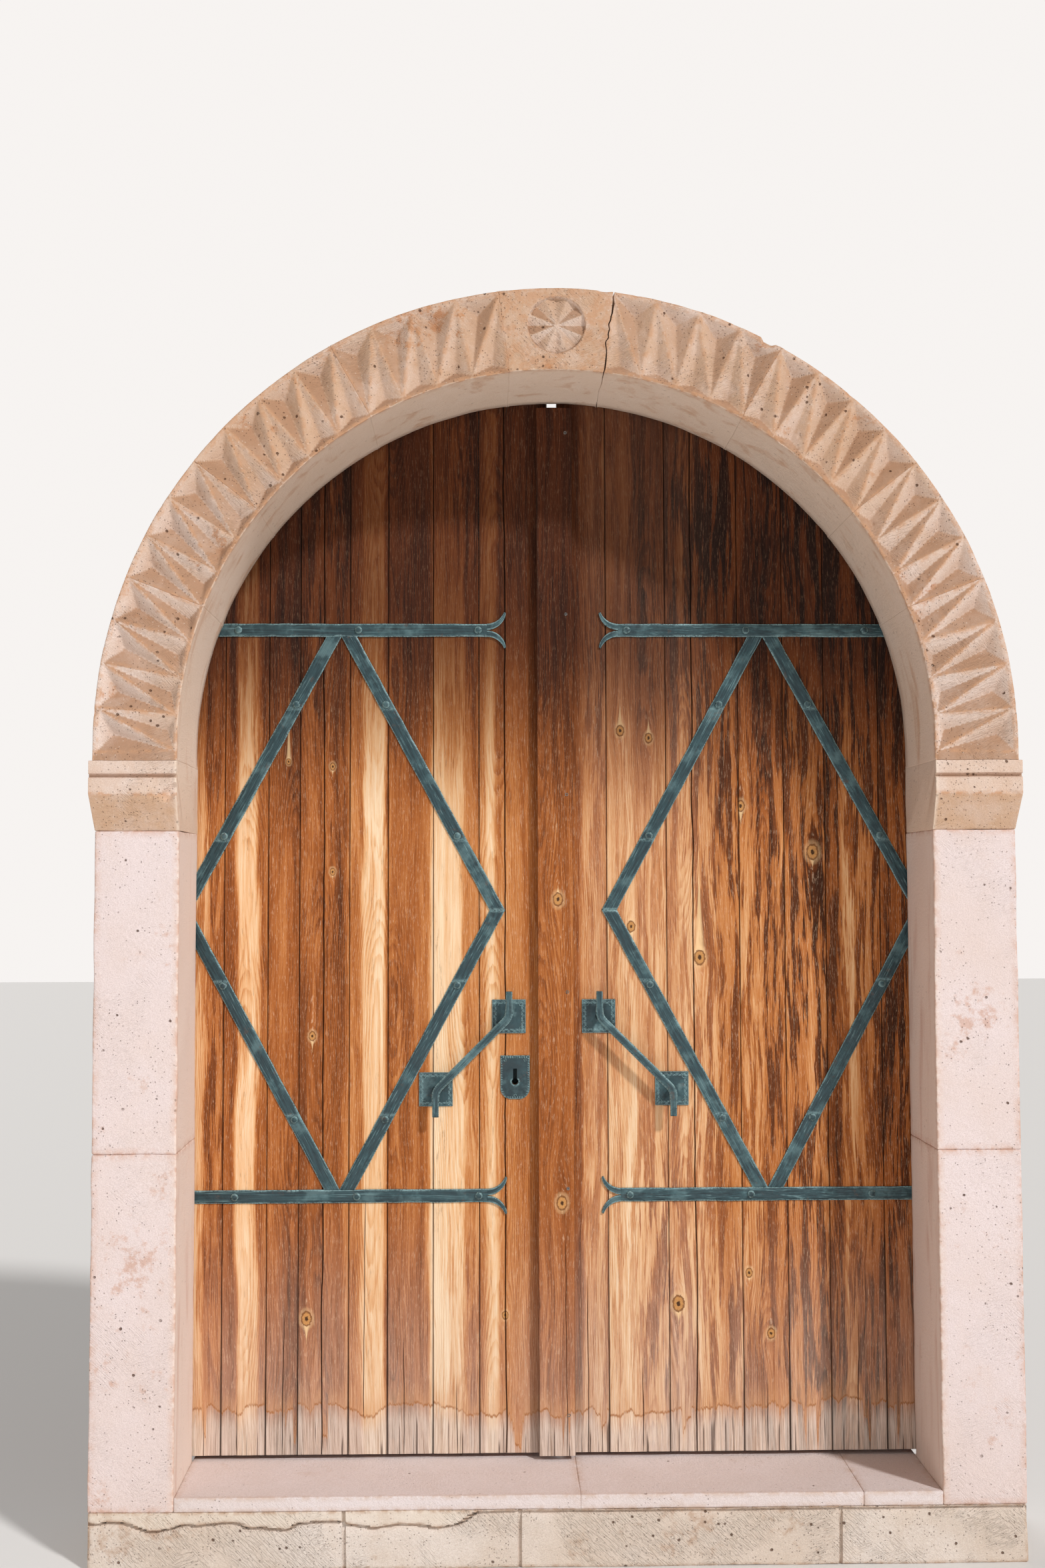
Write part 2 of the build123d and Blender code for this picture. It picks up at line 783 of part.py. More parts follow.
def make_lock():
    """The rim lock on the back of the left leaf: a hollow case and the bolt that slides in it."""
    case_right = -meeting_gap / 2 - case_edge_gap
    case_x = case_right - case_width / 2
    case_z = lock_z + case_rise
    case_y = board_rear_y + case_depth / 2
    bolt_z = lock_z + lock_bolt_rise
    mouth = 2 * lock_bolt_clearance
    tail_depth = case_depth - 2 * case_wall - mouth
    with BuildPart() as lock_case:
        with Locations((case_x, case_y, case_z)):
            Box(case_width, case_depth, case_height)
            Box(
                case_width - 2 * case_wall,
                case_depth - 2 * case_wall,
                case_height - 2 * case_wall,
                mode=Mode.SUBTRACT,
            )
        with Locations((case_right, case_y, bolt_z)):
            Box(
                4 * case_wall,
                lock_bolt_depth + mouth,
                lock_bolt_height + mouth,
                mode=Mode.SUBTRACT,
            )
        with BuildSketch(front_plane(board_rear_y + case_wall)):
            with Locations((lock_x, lock_z)):
                draw_keyhole()
        extrude(amount=case_wall, mode=Mode.SUBTRACT)
    finish(lock_case, "lock_case")

    with BuildPart() as lock_bolt:
        with Locations((case_right - lock_bolt_recess, case_y, bolt_z)):
            Box(
                lock_bolt_length,
                lock_bolt_depth,
                lock_bolt_height,
                align=(Align.MAX, Align.CENTER, Align.CENTER),
            )
        with Locations((case_right - lock_bolt_recess - lock_bolt_length, case_y, bolt_z)):
            Box(
                lock_bolt_tail,
                tail_depth,
                lock_bolt_depth,
                align=(Align.MIN, Align.CENTER, Align.CENTER),
            )
    finish(lock_bolt, "lock_bolt")

    keeper_x = meeting_gap / 2 + keeper_edge_gap + keeper_width / 2
    with BuildPart() as keeper:
        with Locations((keeper_x, case_y, bolt_z)):
            Box(keeper_width, case_depth, keeper_height)
            Box(
                2 * keeper_width,
                lock_bolt_depth + 2 * keeper_mouth_clearance,
                lock_bolt_height + 2 * keeper_mouth_clearance,
                mode=Mode.SUBTRACT,
            )
    finish(keeper, "lock_keeper")


def make_shoot_bolt():
    """The long bolt on the back of the right leaf and its two guides, one on each lower ledge."""
    bottom_z = threshold_z + shoot_rest_gap
    top_z = ledge_z["middle"] + guide_height / 2 + shoot_overrun
    with BuildPart() as shoot_bolt:
        with Locations((shoot_x, shoot_y, bottom_z)):
            Cylinder(shoot_radius, top_z - bottom_z, align=(Align.CENTER, Align.CENTER, Align.MIN))
        with Locations(Plane(origin=(shoot_x, shoot_y, threshold_z + shoot_knob_height), z_dir=(0, 1, 0))):
            Cylinder(shoot_knob_radius, shoot_knob_length, align=(Align.CENTER, Align.CENTER, Align.MIN))
        with Locations((shoot_x, shoot_y + shoot_knob_length, threshold_z + shoot_knob_height)):
            Sphere(shoot_ball_radius)
    finish(shoot_bolt, "shoot_bolt")

    with BuildPart() as guides:
        for level in ("middle", "bottom"):
            with Locations((shoot_x, ledge_rear_y + guide_depth / 2, ledge_z[level])):
                Box(guide_width, guide_depth, guide_height)
                Cylinder(shoot_radius + shoot_clearance, 2 * guide_height, mode=Mode.SUBTRACT)
    finish(guides, "shoot_bolt_guides")


def make_pintles():
    """The four pintles: a round pin that carries a strap's eye, on a square spike set in the stone."""
    with BuildPart() as pintles:
        for sign in side_sign.values():
            for z in strap_z.values():
                shank_top = shank_z(z) + shank_size / 2
                pin_top = z + strap_width / 2 + pin_overrun
                shank_end = hinge_y + pin_radius
                shank_start = rear_y - spike_depth
                with Locations((sign * hinge_x, (shank_start + shank_end) / 2, shank_z(z))):
                    Box(shank_size, shank_end - shank_start, shank_size)
                with Locations((sign * hinge_x, hinge_y, shank_top)):
                    Cylinder(
                        pin_radius,
                        pin_top - shank_top,
                        align=(Align.CENTER, Align.CENTER, Align.MIN),
                    )
    finish(pintles, "pintles")


make_keystone()
for side in side_sign:
    make_voussoirs(side)
    make_impost(side)
    make_jamb(side)
make_threshold()
make_footing()
make_pintles()
for side in side_sign:
    make_boards(side)
    make_ledges(side)
    make_straps(side)
    make_diamond(side)
    make_bolts(side)
    make_handle(side)
make_cover_strip()
make_escutcheon()
make_lock()
make_shoot_bolt()
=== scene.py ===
"""Looks of the wooden entrance gate: worn carved stone, weathered boards and forged iron.

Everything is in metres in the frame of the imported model: X to the right, Y into the building, Z up.
"""

from itertools import product
from math import atan2, cos, hypot, pi, radians, sin

import bmesh
import bpy
import numpy as np
from mathutils import Matrix, Vector


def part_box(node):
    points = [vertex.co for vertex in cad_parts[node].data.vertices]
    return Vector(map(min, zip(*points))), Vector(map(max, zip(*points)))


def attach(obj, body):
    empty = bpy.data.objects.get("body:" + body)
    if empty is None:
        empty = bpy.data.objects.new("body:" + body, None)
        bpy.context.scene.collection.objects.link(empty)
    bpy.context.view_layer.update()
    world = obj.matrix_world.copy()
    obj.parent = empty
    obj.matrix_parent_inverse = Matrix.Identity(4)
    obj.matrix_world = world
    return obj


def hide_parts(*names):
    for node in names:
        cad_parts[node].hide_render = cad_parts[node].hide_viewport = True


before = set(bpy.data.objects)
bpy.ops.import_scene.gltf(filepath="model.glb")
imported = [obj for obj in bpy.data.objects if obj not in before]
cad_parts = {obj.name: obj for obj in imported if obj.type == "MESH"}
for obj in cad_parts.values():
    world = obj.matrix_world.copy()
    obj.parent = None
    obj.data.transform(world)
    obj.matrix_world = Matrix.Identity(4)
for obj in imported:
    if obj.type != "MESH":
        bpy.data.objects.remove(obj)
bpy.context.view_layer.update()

# Camera, as solved from the photo
CAMERA_AT = (-0.1958, -4.9496, 1.7520)
CAMERA_YAW = 0.02176
CAMERA_PITCH = 0.05936
CAMERA_ROLL = -0.00264
FOCAL_PIXELS = 2681
IMAGE_HEIGHT = 2352
SENSOR_MM = 36

# Portal
INNER_RADIUS = 1.0
RING_WIDTH = 0.221
OUTER_RADIUS = INNER_RADIUS + RING_WIDTH
RING_Y = -0.260
WALL_Y = -0.215
REAR_Y = 0.085
SPRINGING_Z = 2.139
THRESHOLD_Z = 0.186
KEYSTONE_HALF_ANGLE = radians(7.25)
CARVING_END_ANGLE = radians(91.2)
BAYS_PER_STONE = (4, 4, 3, 4)
BAY_ANGLE = (CARVING_END_ANGLE - KEYSTONE_HALF_ANGLE) / sum(BAYS_PER_STONE)
STILT_HEIGHT = 0.045
CARVING_MARGIN = 0.007
CARVING_RIDGE = 0.004
OUTER_PIT = {"share": 0.56, "inset": 0.050, "depth": 0.026}
INNER_PIT = {"share": 0.43, "inset": 0.028, "depth": 0.018}
ROSETTE = {"radius": 0.076, "centre": 1.121, "middle": 0.005, "ridge": 0.005, "valley": 0.015, "petals": 8}
FOOTING_HEIGHT = 0.150
FOOTING_JOINTS = (-0.560, -0.105, 0.732)
IMPOST = {
    "upper": 0.035, "groove": 0.010, "groove_depth": 0.009, "lower": 0.043, "bevel": 0.095,
    "overhang": 0.010,
}

# Leaves
BOARD_FRONT_Y = 0.095
BOARD_REAR_Y = 0.125
STRAP_FRONT_Y = 0.089
LEDGE_REAR_Y = 0.165
LEAF_TOP_RADIUS = 1.165
STRIP_TOP_RADIUS = 0.985
BOARD_LAP = 0.00097
BOARD_CLEARANCE = 0.012
RING_PITCH = 0.0048
HEARTS = (0.18, -0.27, 0.05, 0.36, -0.12, 0.24, -0.38)
DIAMOND_INNER_X = 0.136
DIAMOND_OUTER_X = 1.060
DIAMOND_BOLT_SHARES = (0.25, 0.73)
STRAP_WIDTH = 0.037
STRAP_THICKNESS = 0.006
BEVEL = 0.0065
BEVEL_DEPTH = 0.0014
FISHTAIL = {
    "split": 0.186, "tip": 0.130, "spread": 0.052, "tip_width": 0.007, "crotch": 0.002,
    "length": 0.075, "root_width": 0.018,
}
HINGE_X = 1.105
EYE_RADIUS = 0.01408
BOLT_FIRST = 0.211
BOLT_PITCH = 0.339
BOLT_HEAD_RADIUS = 0.0105
BOLT_HEAD_HEIGHT = 0.008
NUT_RADIUS = 0.010
NUT_HEIGHT = 0.008
SHANK_RADIUS = 0.0045
KEYHOLE_DROP = 0.012
PLATE_SIZE = 0.094
PLATE_THICKNESS = 0.004
HANDLE_BAR = {"width": 0.022, "thickness": 0.010, "standoff": 0.042, "post": 0.008, "stub": 0.072}
SIDES = {"left": -1, "right": 1}

# Mesh cells, one size or one for each axis
KEYSTONE_CELL = 0.0028
VOUSSOIR_CELL = 0.0040
JAMB_CELLS = (0.015, 0.015, 0.015)
THRESHOLD_CELLS = (0.018, 0.016, 0.009)
FOOTING_CELLS = (0.012, 0.025, 0.0044)
BOARD_CELLS = (0.011, 0.032, 0.007)
LEDGE_CELLS = (0.03, 0.012, 0.010)
IRON_CELL = 0.0085
FINE_IRON_CELL = 0.004
PLATE_CELL = 0.0020

scene = bpy.context.scene


def make_camera():
    forward = Vector((
        sin(CAMERA_YAW) * cos(CAMERA_PITCH),
        cos(CAMERA_YAW) * cos(CAMERA_PITCH),
        sin(CAMERA_PITCH),
    ))
    level = Vector((cos(CAMERA_YAW), -sin(CAMERA_YAW), 0))
    right = cos(CAMERA_ROLL) * level + sin(CAMERA_ROLL) * level.cross(forward)
    up = right.cross(forward)
    camera = bpy.data.objects.new("camera", bpy.data.cameras.new("camera"))
    camera.data.sensor_width = SENSOR_MM
    camera.data.lens = SENSOR_MM * FOCAL_PIXELS / IMAGE_HEIGHT
    camera.matrix_world = Matrix.Translation(CAMERA_AT) @ Matrix((right, up, -forward)).transposed().to_4x4()
    scene.collection.objects.link(camera)
    scene.camera = camera


make_camera()


# Noise and meshes

def noise(points, scale, seed=0):
    """Smooth noise between -1 and 1 at each point. The scale is in cells per metre, one or one per axis."""
    spots = np.asarray(points) * scale + seed * 17.31
    cells = np.floor(spots).astype(np.int64)
    fade = spots - cells
    fade = fade * fade * (3 - 2 * fade)
    total = np.zeros(len(spots))
    for corner in product((0, 1), repeat=3):
        weight = np.prod(np.where(corner, fade, 1 - fade), axis=1)
        a, b, c = (cells + corner).T
        code = ((a * 73856093) ^ (b * 19349663) ^ (c * 83492791)) & 0x7FFFFFFF
        code = ((code ^ (code >> 13)) * 1274126177) & 0x7FFFFFFF
        code = (code ^ (code >> 16)) & 0xFFFFFF
        total += weight * (code / 0x7FFFFF - 1)
    return total


def fractal(points, scale, seed=0, octaves=3):
    """Noise with finer and fainter noise on top."""
    total = np.zeros(len(points))
    for octave in range(octaves):
        total += noise(points, np.asarray(scale) * 2.1**octave, seed + octave) / 2**octave
    return total


def weather(points, amount, scale, seed=3):
    """Shift each point a little, so that flat faces undulate. Pieces that touch shift together."""
    shifts = [fractal(points, scale, seed + 5 * axis, octaves=2) for axis in range(3)]
    return points + amount * np.stack(shifts, axis=1)


def smooth_step(value, start, end):
    share = np.clip((value - start) / (end - start), 0, 1)
    return share * share * (3 - 2 * share)


def peak(value, middle, width):
    """One at the middle, and less on both sides of it."""
    return np.exp(-(((value - middle) / width) ** 2))


def from_ends(value, length):
    """Distance to the nearer end."""
    return np.minimum(value, length - value)


def join(x, y, z):
    """Points from their coordinates, each an array or one number for all of them."""
    return np.stack(np.broadcast_arrays(x, y, z), axis=1)


def lines(length, cell, arris, extra=()):
    """Lattice lines along one side of a block: even ones, and close ones at rounded ends."""
    ends = arris * np.array([0, 0.12, 0.45])
    inside = np.linspace(arris, length - arris, max(2, round((length - 2 * arris) / cell) + 1))
    inside = np.concatenate([ends, inside, length - ends[::-1]])
    if len(extra):
        extra = np.asarray(extra)
        near = np.min(np.abs(inside[:, None] - extra[None, :]), axis=1)
        keep = near > 0.0015
        keep[[0, -1]] = True
        inside = np.sort(np.concatenate([inside[keep], extra]))
    return inside


def lattice(us, vs, ws):
    """Closed surface of a block, from its lattice lines: points and faces."""
    surface = np.zeros((len(us), len(vs), len(ws)), bool)
    surface[[0, -1]] = True
    surface[:, [0, -1]] = True
    surface[:, :, [0, -1]] = True
    index = np.full(surface.shape, -1)
    index[surface] = np.arange(surface.sum())
    i, j, k = np.nonzero(surface)
    faces = []
    sides = (
        (index[0], True), (index[-1], False),
        (index[:, 0], False), (index[:, -1], True),
        (index[:, :, 0], True), (index[:, :, -1], False),
    )
    for grid, flipped in sides:
        quads = np.stack([grid[:-1, :-1], grid[1:, :-1], grid[1:, 1:], grid[:-1, 1:]], axis=-1).reshape(-1, 4)
        faces.append(quads[:, ::-1] if flipped else quads)
    return join(us[i], vs[j], ws[k]), np.concatenate(faces)


def round_arrises(points, size, radius):
    """Round the edges of a block. The radius may differ from point to point."""
    size = np.asarray(size, float)
    reach = np.minimum(np.broadcast_to(radius, len(points))[:, None], size / 2.001)
    core = np.clip(points, reach, size - reach)
    away = points - core
    distance = np.linalg.norm(away, axis=1)
    shrink = np.minimum(1, reach.min(axis=1) / np.maximum(distance, 1e-9))
    return core + away * shrink[:, None]


def dent(points, centre, radius, push):
    """Push the points near a centre, most at the centre itself."""
    distance = np.linalg.norm(points - np.asarray(centre), axis=1)
    weight = smooth_step(distance, radius, 0.35 * radius)
    return points + weight[:, None] * np.asarray(push)


def face_outward(mesh):
    work = bmesh.new()
    work.from_mesh(mesh)
    bmesh.ops.recalc_face_normals(work, faces=work.faces)
    work.to_mesh(mesh)
    work.free()


class Shell:
    """The points, faces and marks of a piece, which grows from several closed surfaces."""

    def __init__(self):
        self.points, self.faces, self.marks, self.count = [], [], {}, 0

    def add(self, points, faces, **marks):
        for name in {**self.marks, **marks}:
            row = self.marks.setdefault(name, [np.zeros(self.count)])
            row.append(np.broadcast_to(marks.get(name, 0.0), len(points)))
        self.points.append(np.asarray(points, float))
        self.faces += [tuple(int(n) + self.count for n in face) for face in faces]
        self.count += len(points)

    def piece(self, name, body, material, slot, sharp):
        """Make the object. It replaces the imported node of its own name, where there is one."""
        mesh = bpy.data.meshes.new(name)
        mesh.from_pydata(np.concatenate(self.points).tolist(), [], self.faces)
        for mark, rows in self.marks.items():
            layer = mesh.attributes.new(mark, "FLOAT", "POINT")
            layer.data.foreach_set("value", np.concatenate(rows).astype(np.float32))
        face_outward(mesh)
        mesh.shade_smooth()
        mesh.set_sharp_from_angle(angle=radians(sharp))
        mesh.materials.append(material)
        made = bpy.data.objects.new(name, mesh)
        scene.collection.objects.link(made)
        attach(made, body)
        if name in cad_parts:
            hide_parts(name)
        return made


def lathe(profile, steps, origin, axis=(0, -1, 0)):
    """Turn a profile of radius, height pairs about an axis. The first and last radius may be zero."""
    axis = Vector(axis).normalized()
    side = axis.orthogonal().normalized()
    other = axis.cross(side)
    points, rings = [], []
    for radius, height in profile:
        turns = 1 if radius < 1e-6 else steps
        rings.append(range(len(points), len(points) + turns))
        for step in range(turns):
            angle = 2 * pi * step / steps
            points.append(Vector(origin) + axis * height + radius * (cos(angle) * side + sin(angle) * other))
    faces = []
    for low, high in zip(rings, rings[1:]):
        for step in range(steps):
            after = (step + 1) % steps
            corners = ((low, step), (low, after), (high, after), (high, step))
            faces.append(tuple(dict.fromkeys(ring[turn % len(ring)] for ring, turn in corners)))
    faces += [tuple(ring) for ring in (rings[0], rings[-1]) if len(ring) > 2]
    return np.array(points), faces


# Materials

class Value:
    """An output of a node. A sign of arithmetic between values adds a node for it."""

    def __init__(self, nodes, socket):
        self.nodes, self.socket = nodes, socket

    def __add__(self, other):
        return self.nodes.combine("ADD", self, other)

    def __sub__(self, other):
        return self.nodes.combine("SUBTRACT", self, other)

    def __rsub__(self, other):
        return self.nodes.combine("SUBTRACT", other, self)

    def __mul__(self, other):
        return self.nodes.combine("MULTIPLY", self, other)

    def __truediv__(self, other):
        return self.nodes.combine("DIVIDE", self, other)


class Nodes:
    """The nodes of a material, a group or a world under construction."""

    def __init__(self, tree):
        self.tree = tree
        self.tree.nodes.clear()

    def node(self, kind, inputs=(), **settings):
        made = self.tree.nodes.new("ShaderNode" + kind)
        for name, value in settings.items():
            setattr(made, name, value)
        for key, value in dict(inputs).items():
            self.feed(made.inputs[key], value)
        return made

    def feed(self, socket, value):
        if isinstance(value, Value):
            self.tree.links.new(value.socket, socket)
        elif socket.type == "RGBA":
            socket.default_value = (*value, 1)
        else:
            socket.default_value = value

    def value(self, kind, inputs=(), output=0, **settings):
        return Value(self, self.node(kind, inputs, **settings).outputs[output])

    def math(self, operation, *values, clamp=False):
        return self.value("Math", enumerate(values), operation=operation, use_clamp=clamp)

    def combine(self, operation, a, b):
        """A VectorMath node where the first value is a vector, and a Math node elsewhere."""
        is_vector = isinstance(a, Value) and a.socket.type in ("VECTOR", "RGBA")
        return self.value("VectorMath" if is_vector else "Math", {0: a, 1: b}, operation=operation)

    def axis(self, name, vector):
        return self.value("SeparateXYZ", {0: vector}, name)


class Look(Nodes):
    """A procedural material under construction."""

    def __init__(self, name):
        self.material = bpy.data.materials.new(name)
        self.material.use_nodes = True
        super().__init__(self.material.node_tree)
        self.place = self.value("TexCoord", output="Object")

    def noise(self, vector, scale, detail=3.0, roughness=0.55, distortion=0.0):
        """Noise between 0 and 1, with one scale or one for each axis."""
        if isinstance(scale, tuple):
            vector, scale = vector * scale, 1.0
        inputs = {
            "Vector": vector, "Scale": scale, "Detail": detail, "Roughness": roughness,
            "Distortion": distortion,
        }
        return self.value("TexNoise", inputs, "Fac")

    def spots(self, vector, scale, share, size):
        """Round spots in a share of the cells of a cell pattern."""
        cells = self.node("TexVoronoi", {"Vector": vector, "Scale": scale}).outputs
        chosen = self.range(self.axis("X", Value(self, cells["Color"])), share, share - 0.02)
        return chosen * self.range(Value(self, cells["Distance"]), size, 0.5 * size)

    def swing(self, value, amount):
        """A noise between 0 and 1, turned into one that swings about zero."""
        return (value - 0.5) * amount

    def range(self, value, low, high, new_low=0.0, new_high=1.0):
        inputs = enumerate((value, low, high, new_low, new_high))
        return self.value("MapRange", inputs, interpolation_type="SMOOTHSTEP")

    def mix(self, share, a, b, blend="MIX"):
        return self.value("Mix", {0: share, 6: a, 7: b}, 2, data_type="RGBA", blend_type=blend)

    def layers(self, colour, *coats):
        """Lay coats over a colour, each given as its share and its own colour."""
        for share, coat in coats:
            colour = self.mix(share, colour, coat)
        return colour

    def ramp(self, value, *stops):
        made = self.node("ValToRGB", {0: value})
        elements = made.color_ramp.elements
        while len(elements) < len(stops):
            elements.new(1.0)
        for element, (place, colour) in zip(elements, stops):
            element.position = place
            element.color = (*colour, 1)
        return Value(self, made.outputs[0])

    def mark(self, name):
        """A mark that the mesh carries on its points."""
        return self.value("Attribute", output="Fac", attribute_name=name)

    def bump(self, height, distance):
        return self.value("Bump", {"Height": height, "Distance": distance, "Strength": 1.0})

    def finish(self, **inputs):
        """Close the material with a principled shader. Underscores in names stand for spaces."""
        named = {name.replace("_", " "): value for name, value in inputs.items()}
        self.node("OutputMaterial", {0: self.value("BsdfPrincipled", named)})
        return self.material


def tint(share, a, b):
    """The colour that lies between two others."""
    return tuple(first + share * (second - first) for first, second in zip(a, b))


def pore_marks(look, share):
    """Open pores, and pale crumbs among them."""
    bend = look.value("TexNoise", {"Vector": look.place, "Scale": 75.0}, "Color")
    warped = look.place + bend * (0.005, 0.005, 0.005)
    crowd = look.range(look.noise(look.place, 7, 2), 0.38, 0.66, 0.35, 1.5)
    large = look.spots(warped, 58, crowd * (0.34 * share), 0.27)
    small = look.spots(warped, 165, crowd * share, 0.30)
    crumbs = look.spots(warped + (3.1, 1.7, 0.9), 120, 0.16, 0.28)
    return look.math("MAXIMUM", large, small * 0.5), crumbs


def comb_strokes(look):
    """Strokes of a toothed hammer, in two directions and on parts of the face."""
    strokes = []
    for turn, shift in ((0.42, 0.0), (-0.75, 4.0)):
        turned = look.value("VectorRotate", {"Vector": look.place, "Angle": turn}, rotation_type="Y_AXIS")
        strokes.append(look.noise(turned * (45, 45, 300) + (shift, shift, shift), 1.0, 2, 0.5))
    which = look.range(look.noise(look.place, 5.5, 1), 0.47, 0.53)
    stroke = look.value("Mix", {0: which, 2: strokes[0], 3: strokes[1]}, data_type="FLOAT")
    patch = look.range(look.noise(look.place, 6, 2), 0.46, 0.58, 0.15, 1.0)
    return look.range(stroke, 0.40, 0.58) * patch


def stone_look(name, pale, warm, stain, tooling, pore_share, rust_share):
    """Porous tuff: slow tones, rust stains, comb strokes, pores, a warm tint on worn arrises, and brown
    painted shading where the pieces mark it.
    """
    look = Look(name)
    place, smooth = look.place, look.mark("smooth")
    rough_part = 1.0 - smooth * 0.75
    slow = look.noise(place, 2.3, 4, 0.6)
    cloud = look.noise(place, 13, 5, 0.65)
    grain = look.noise(place, 330, 3, 0.75)
    rust = look.noise(place, 4.1, 2) * look.noise(place, 26, 4, 0.7)
    streak = look.noise(place, (13.5, 13.5, 2.4), 4, 0.6, 0.4)
    ragged = look.range(look.noise(place, 34, 3, 0.7), 0.38, 0.62, 0.1, 0.9)
    # Painted shading: this mark browns the stone as a painted shadow high on the ring and on the impost's
    # bevelled underside.
    tan = look.mark("tan") * look.range(cloud, 0.30, 0.60, 0.55, 1.0)
    # Painted shading: this mark darkens the deep parts of the carving, the facets that face up, and the
    # impost's groove.
    hollow = look.mark("hollow") * look.range(cloud, 0.30, 0.60, 0.70, 0.92)
    holes, crumbs = pore_marks(look, pore_share)
    holes = holes * rough_part
    colour = look.layers(
        pale,
        (look.range(slow, 0.36, 0.64, 0, 0.55), warm),
        (look.range(cloud, 0.46, 0.72, 0, 0.30), warm),
        # Brown painted shadow high on the ring and under the impost.
        (tan, tint(0.32, warm, (0.50, 0.25, 0.11))),
        (look.range(grain, 0.38, 0.68, 0, 0.34) * rough_part, tint(0.55, warm, (0.22, 0.12, 0.07))),
        (look.range(rust, 0.33, 0.45, 0, rust_share), stain),
        (smooth * 0.75, tint(0.35, pale, (0.90, 0.74, 0.50))),
        (smooth * look.range(streak, 0.52, 0.72, 0, 0.65), tint(0.35, warm, stain)),
        # Dark brown painted shading in the pits and the groove.
        (hollow, tint(0.62, warm, (0.26, 0.10, 0.04))),
        (look.mark("wear") * ragged, tint(0.5, warm, stain)),
        (holes * 0.85, (0.11, 0.045, 0.020)),
        (crumbs * 0.28, (0.92, 0.82, 0.72)),
    )
    height = look.noise(place, 90, 5, 0.75) + comb_strokes(look) * rough_part * tooling - holes * 1.8
    return look.finish(
        Base_Color=colour, Roughness=0.93, Specular_IOR_Level=0.2, Normal=look.bump(height, 0.0024),
    )


RUST = (0.50, 0.18, 0.05)
carved_stone = stone_look("carved_tuff", (0.82, 0.68, 0.61), (0.67, 0.45, 0.30), RUST, 0.45, 0.30, 0.7)
jamb_stone = stone_look("jamb_tuff", (0.82, 0.70, 0.685), (0.77, 0.62, 0.56), RUST, 0.25, 0.12, 0.40)
threshold_stone = stone_look(
    "threshold_tuff", (0.82, 0.73, 0.72), (0.75, 0.64, 0.60), (0.52, 0.32, 0.20), 0.10, 0.05, 0.15,
)
footing_stone = stone_look(
    "footing_tuff", (0.78, 0.69, 0.62), (0.64, 0.51, 0.40), (0.36, 0.17, 0.07), 0.7, 0.32, 0.4,
)

# Knots: X, height above the threshold, size across, and how far its pale tear runs up or down
KNOTS = (
    (-0.689, 0.382, 0.015, -0.070), (-0.676, 1.160, 0.010, -0.045), (-0.621, 1.619, 0.008, -0.020),
    (-0.622, 1.916, 0.008, -0.030), (-0.138, 0.387, 0.009, -0.020), (-0.746, 1.930, 0.007, 0.180),
    (0.191, 2.017, 0.012, 0.090), (0.272, 1.996, 0.011, 0.060), (0.532, 1.803, 0.012, -0.060),
    (0.735, 1.672, 0.017, -0.050), (0.412, 1.376, 0.016, 0.300), (0.219, 1.463, 0.012, -0.030),
    (0.345, 0.416, 0.017, -0.060), (0.543, 0.499, 0.010, -0.030), (0.603, 0.332, 0.011, -0.020),
    (0.012, 1.540, 0.014, 0.040), (0.020, 0.700, 0.015, -0.030),
)
KNOT_INPUTS = {
    "Place": "Vector", "Centre": "Vector", "Size": "Float", "Reach": "Float",
    "Warp": "Vector", "Mask": "Float", "Tear": "Float",
}
KNOT_RESULTS = ("Warp", "Mask", "Tear")


def knot_group():
    """Node group for one knot: it bends the grain round the knot, and marks the knot and its tear."""
    tree = bpy.data.node_groups.new("knot", "ShaderNodeTree")
    for name, kind in KNOT_INPUTS.items():
        tree.interface.new_socket(name, in_out="INPUT", socket_type="NodeSocket" + kind)
    for name in KNOT_RESULTS:
        tree.interface.new_socket(name, in_out="OUTPUT", socket_type="NodeSocket" + KNOT_INPUTS[name])
    nodes = Nodes(tree)
    given = tree.nodes.new("NodeGroupInput").outputs
    place, centre, size, reach, warp, mask, tear = (Value(nodes, given[name]) for name in KNOT_INPUTS)

    def distance(stretched):
        return nodes.value("VectorMath", {0: stretched}, "Value", operation="LENGTH")

    away = place - centre
    share = distance(away * (1.0, 0.0, 0.72)) / size
    spread = distance(away * (1.0, 0.0, 0.22)) / size
    fall = nodes.math("EXPONENT", spread * spread * -0.30)
    bent = nodes.value("VectorMath", {0: away * (-0.90, 0.0, 0.0), "Scale": fall}, operation="SCALE")
    core = nodes.math("MAXIMUM", mask, 1.0 - share)

    run = nodes.axis("Z", away) / reach
    left = nodes.math("MAXIMUM", 1.0 - run, 0.0)
    taper = nodes.math("POWER", left, 1.8) * size
    width = nodes.math("MAXIMUM", taper * 0.85, 0.0004)
    inside = 1.5 - nodes.math("ABSOLUTE", nodes.axis("X", away)) / width
    within = inside * nodes.math("GREATER_THAN", run, 0.0) * nodes.math("LESS_THAN", run, 1.0)
    torn = nodes.math("MAXIMUM", tear, nodes.math("MINIMUM", within, 1.0))
    result = tree.nodes.new("NodeGroupOutput").inputs
    for name, value in zip(KNOT_RESULTS, (warp + bent, core, torn)):
        nodes.feed(result[name], value)
    return tree


knot = knot_group()


# Tones of the stain from unworn to bare, and of silvered fibres
STAIN_TONES = (
    (0.0, (0.045, 0.014, 0.005)), (0.2, (0.165, 0.044, 0.010)), (0.40, (0.36, 0.105, 0.022)),
    (0.58, (0.56, 0.215, 0.064)), (0.76, (0.78, 0.44, 0.21)), (1.0, (0.90, 0.68, 0.45)),
)
SILVER_TONES = ((0.30, (0.36, 0.27, 0.21)), (0.50, (0.68, 0.57, 0.485)), (0.70, (0.84, 0.75, 0.67)))


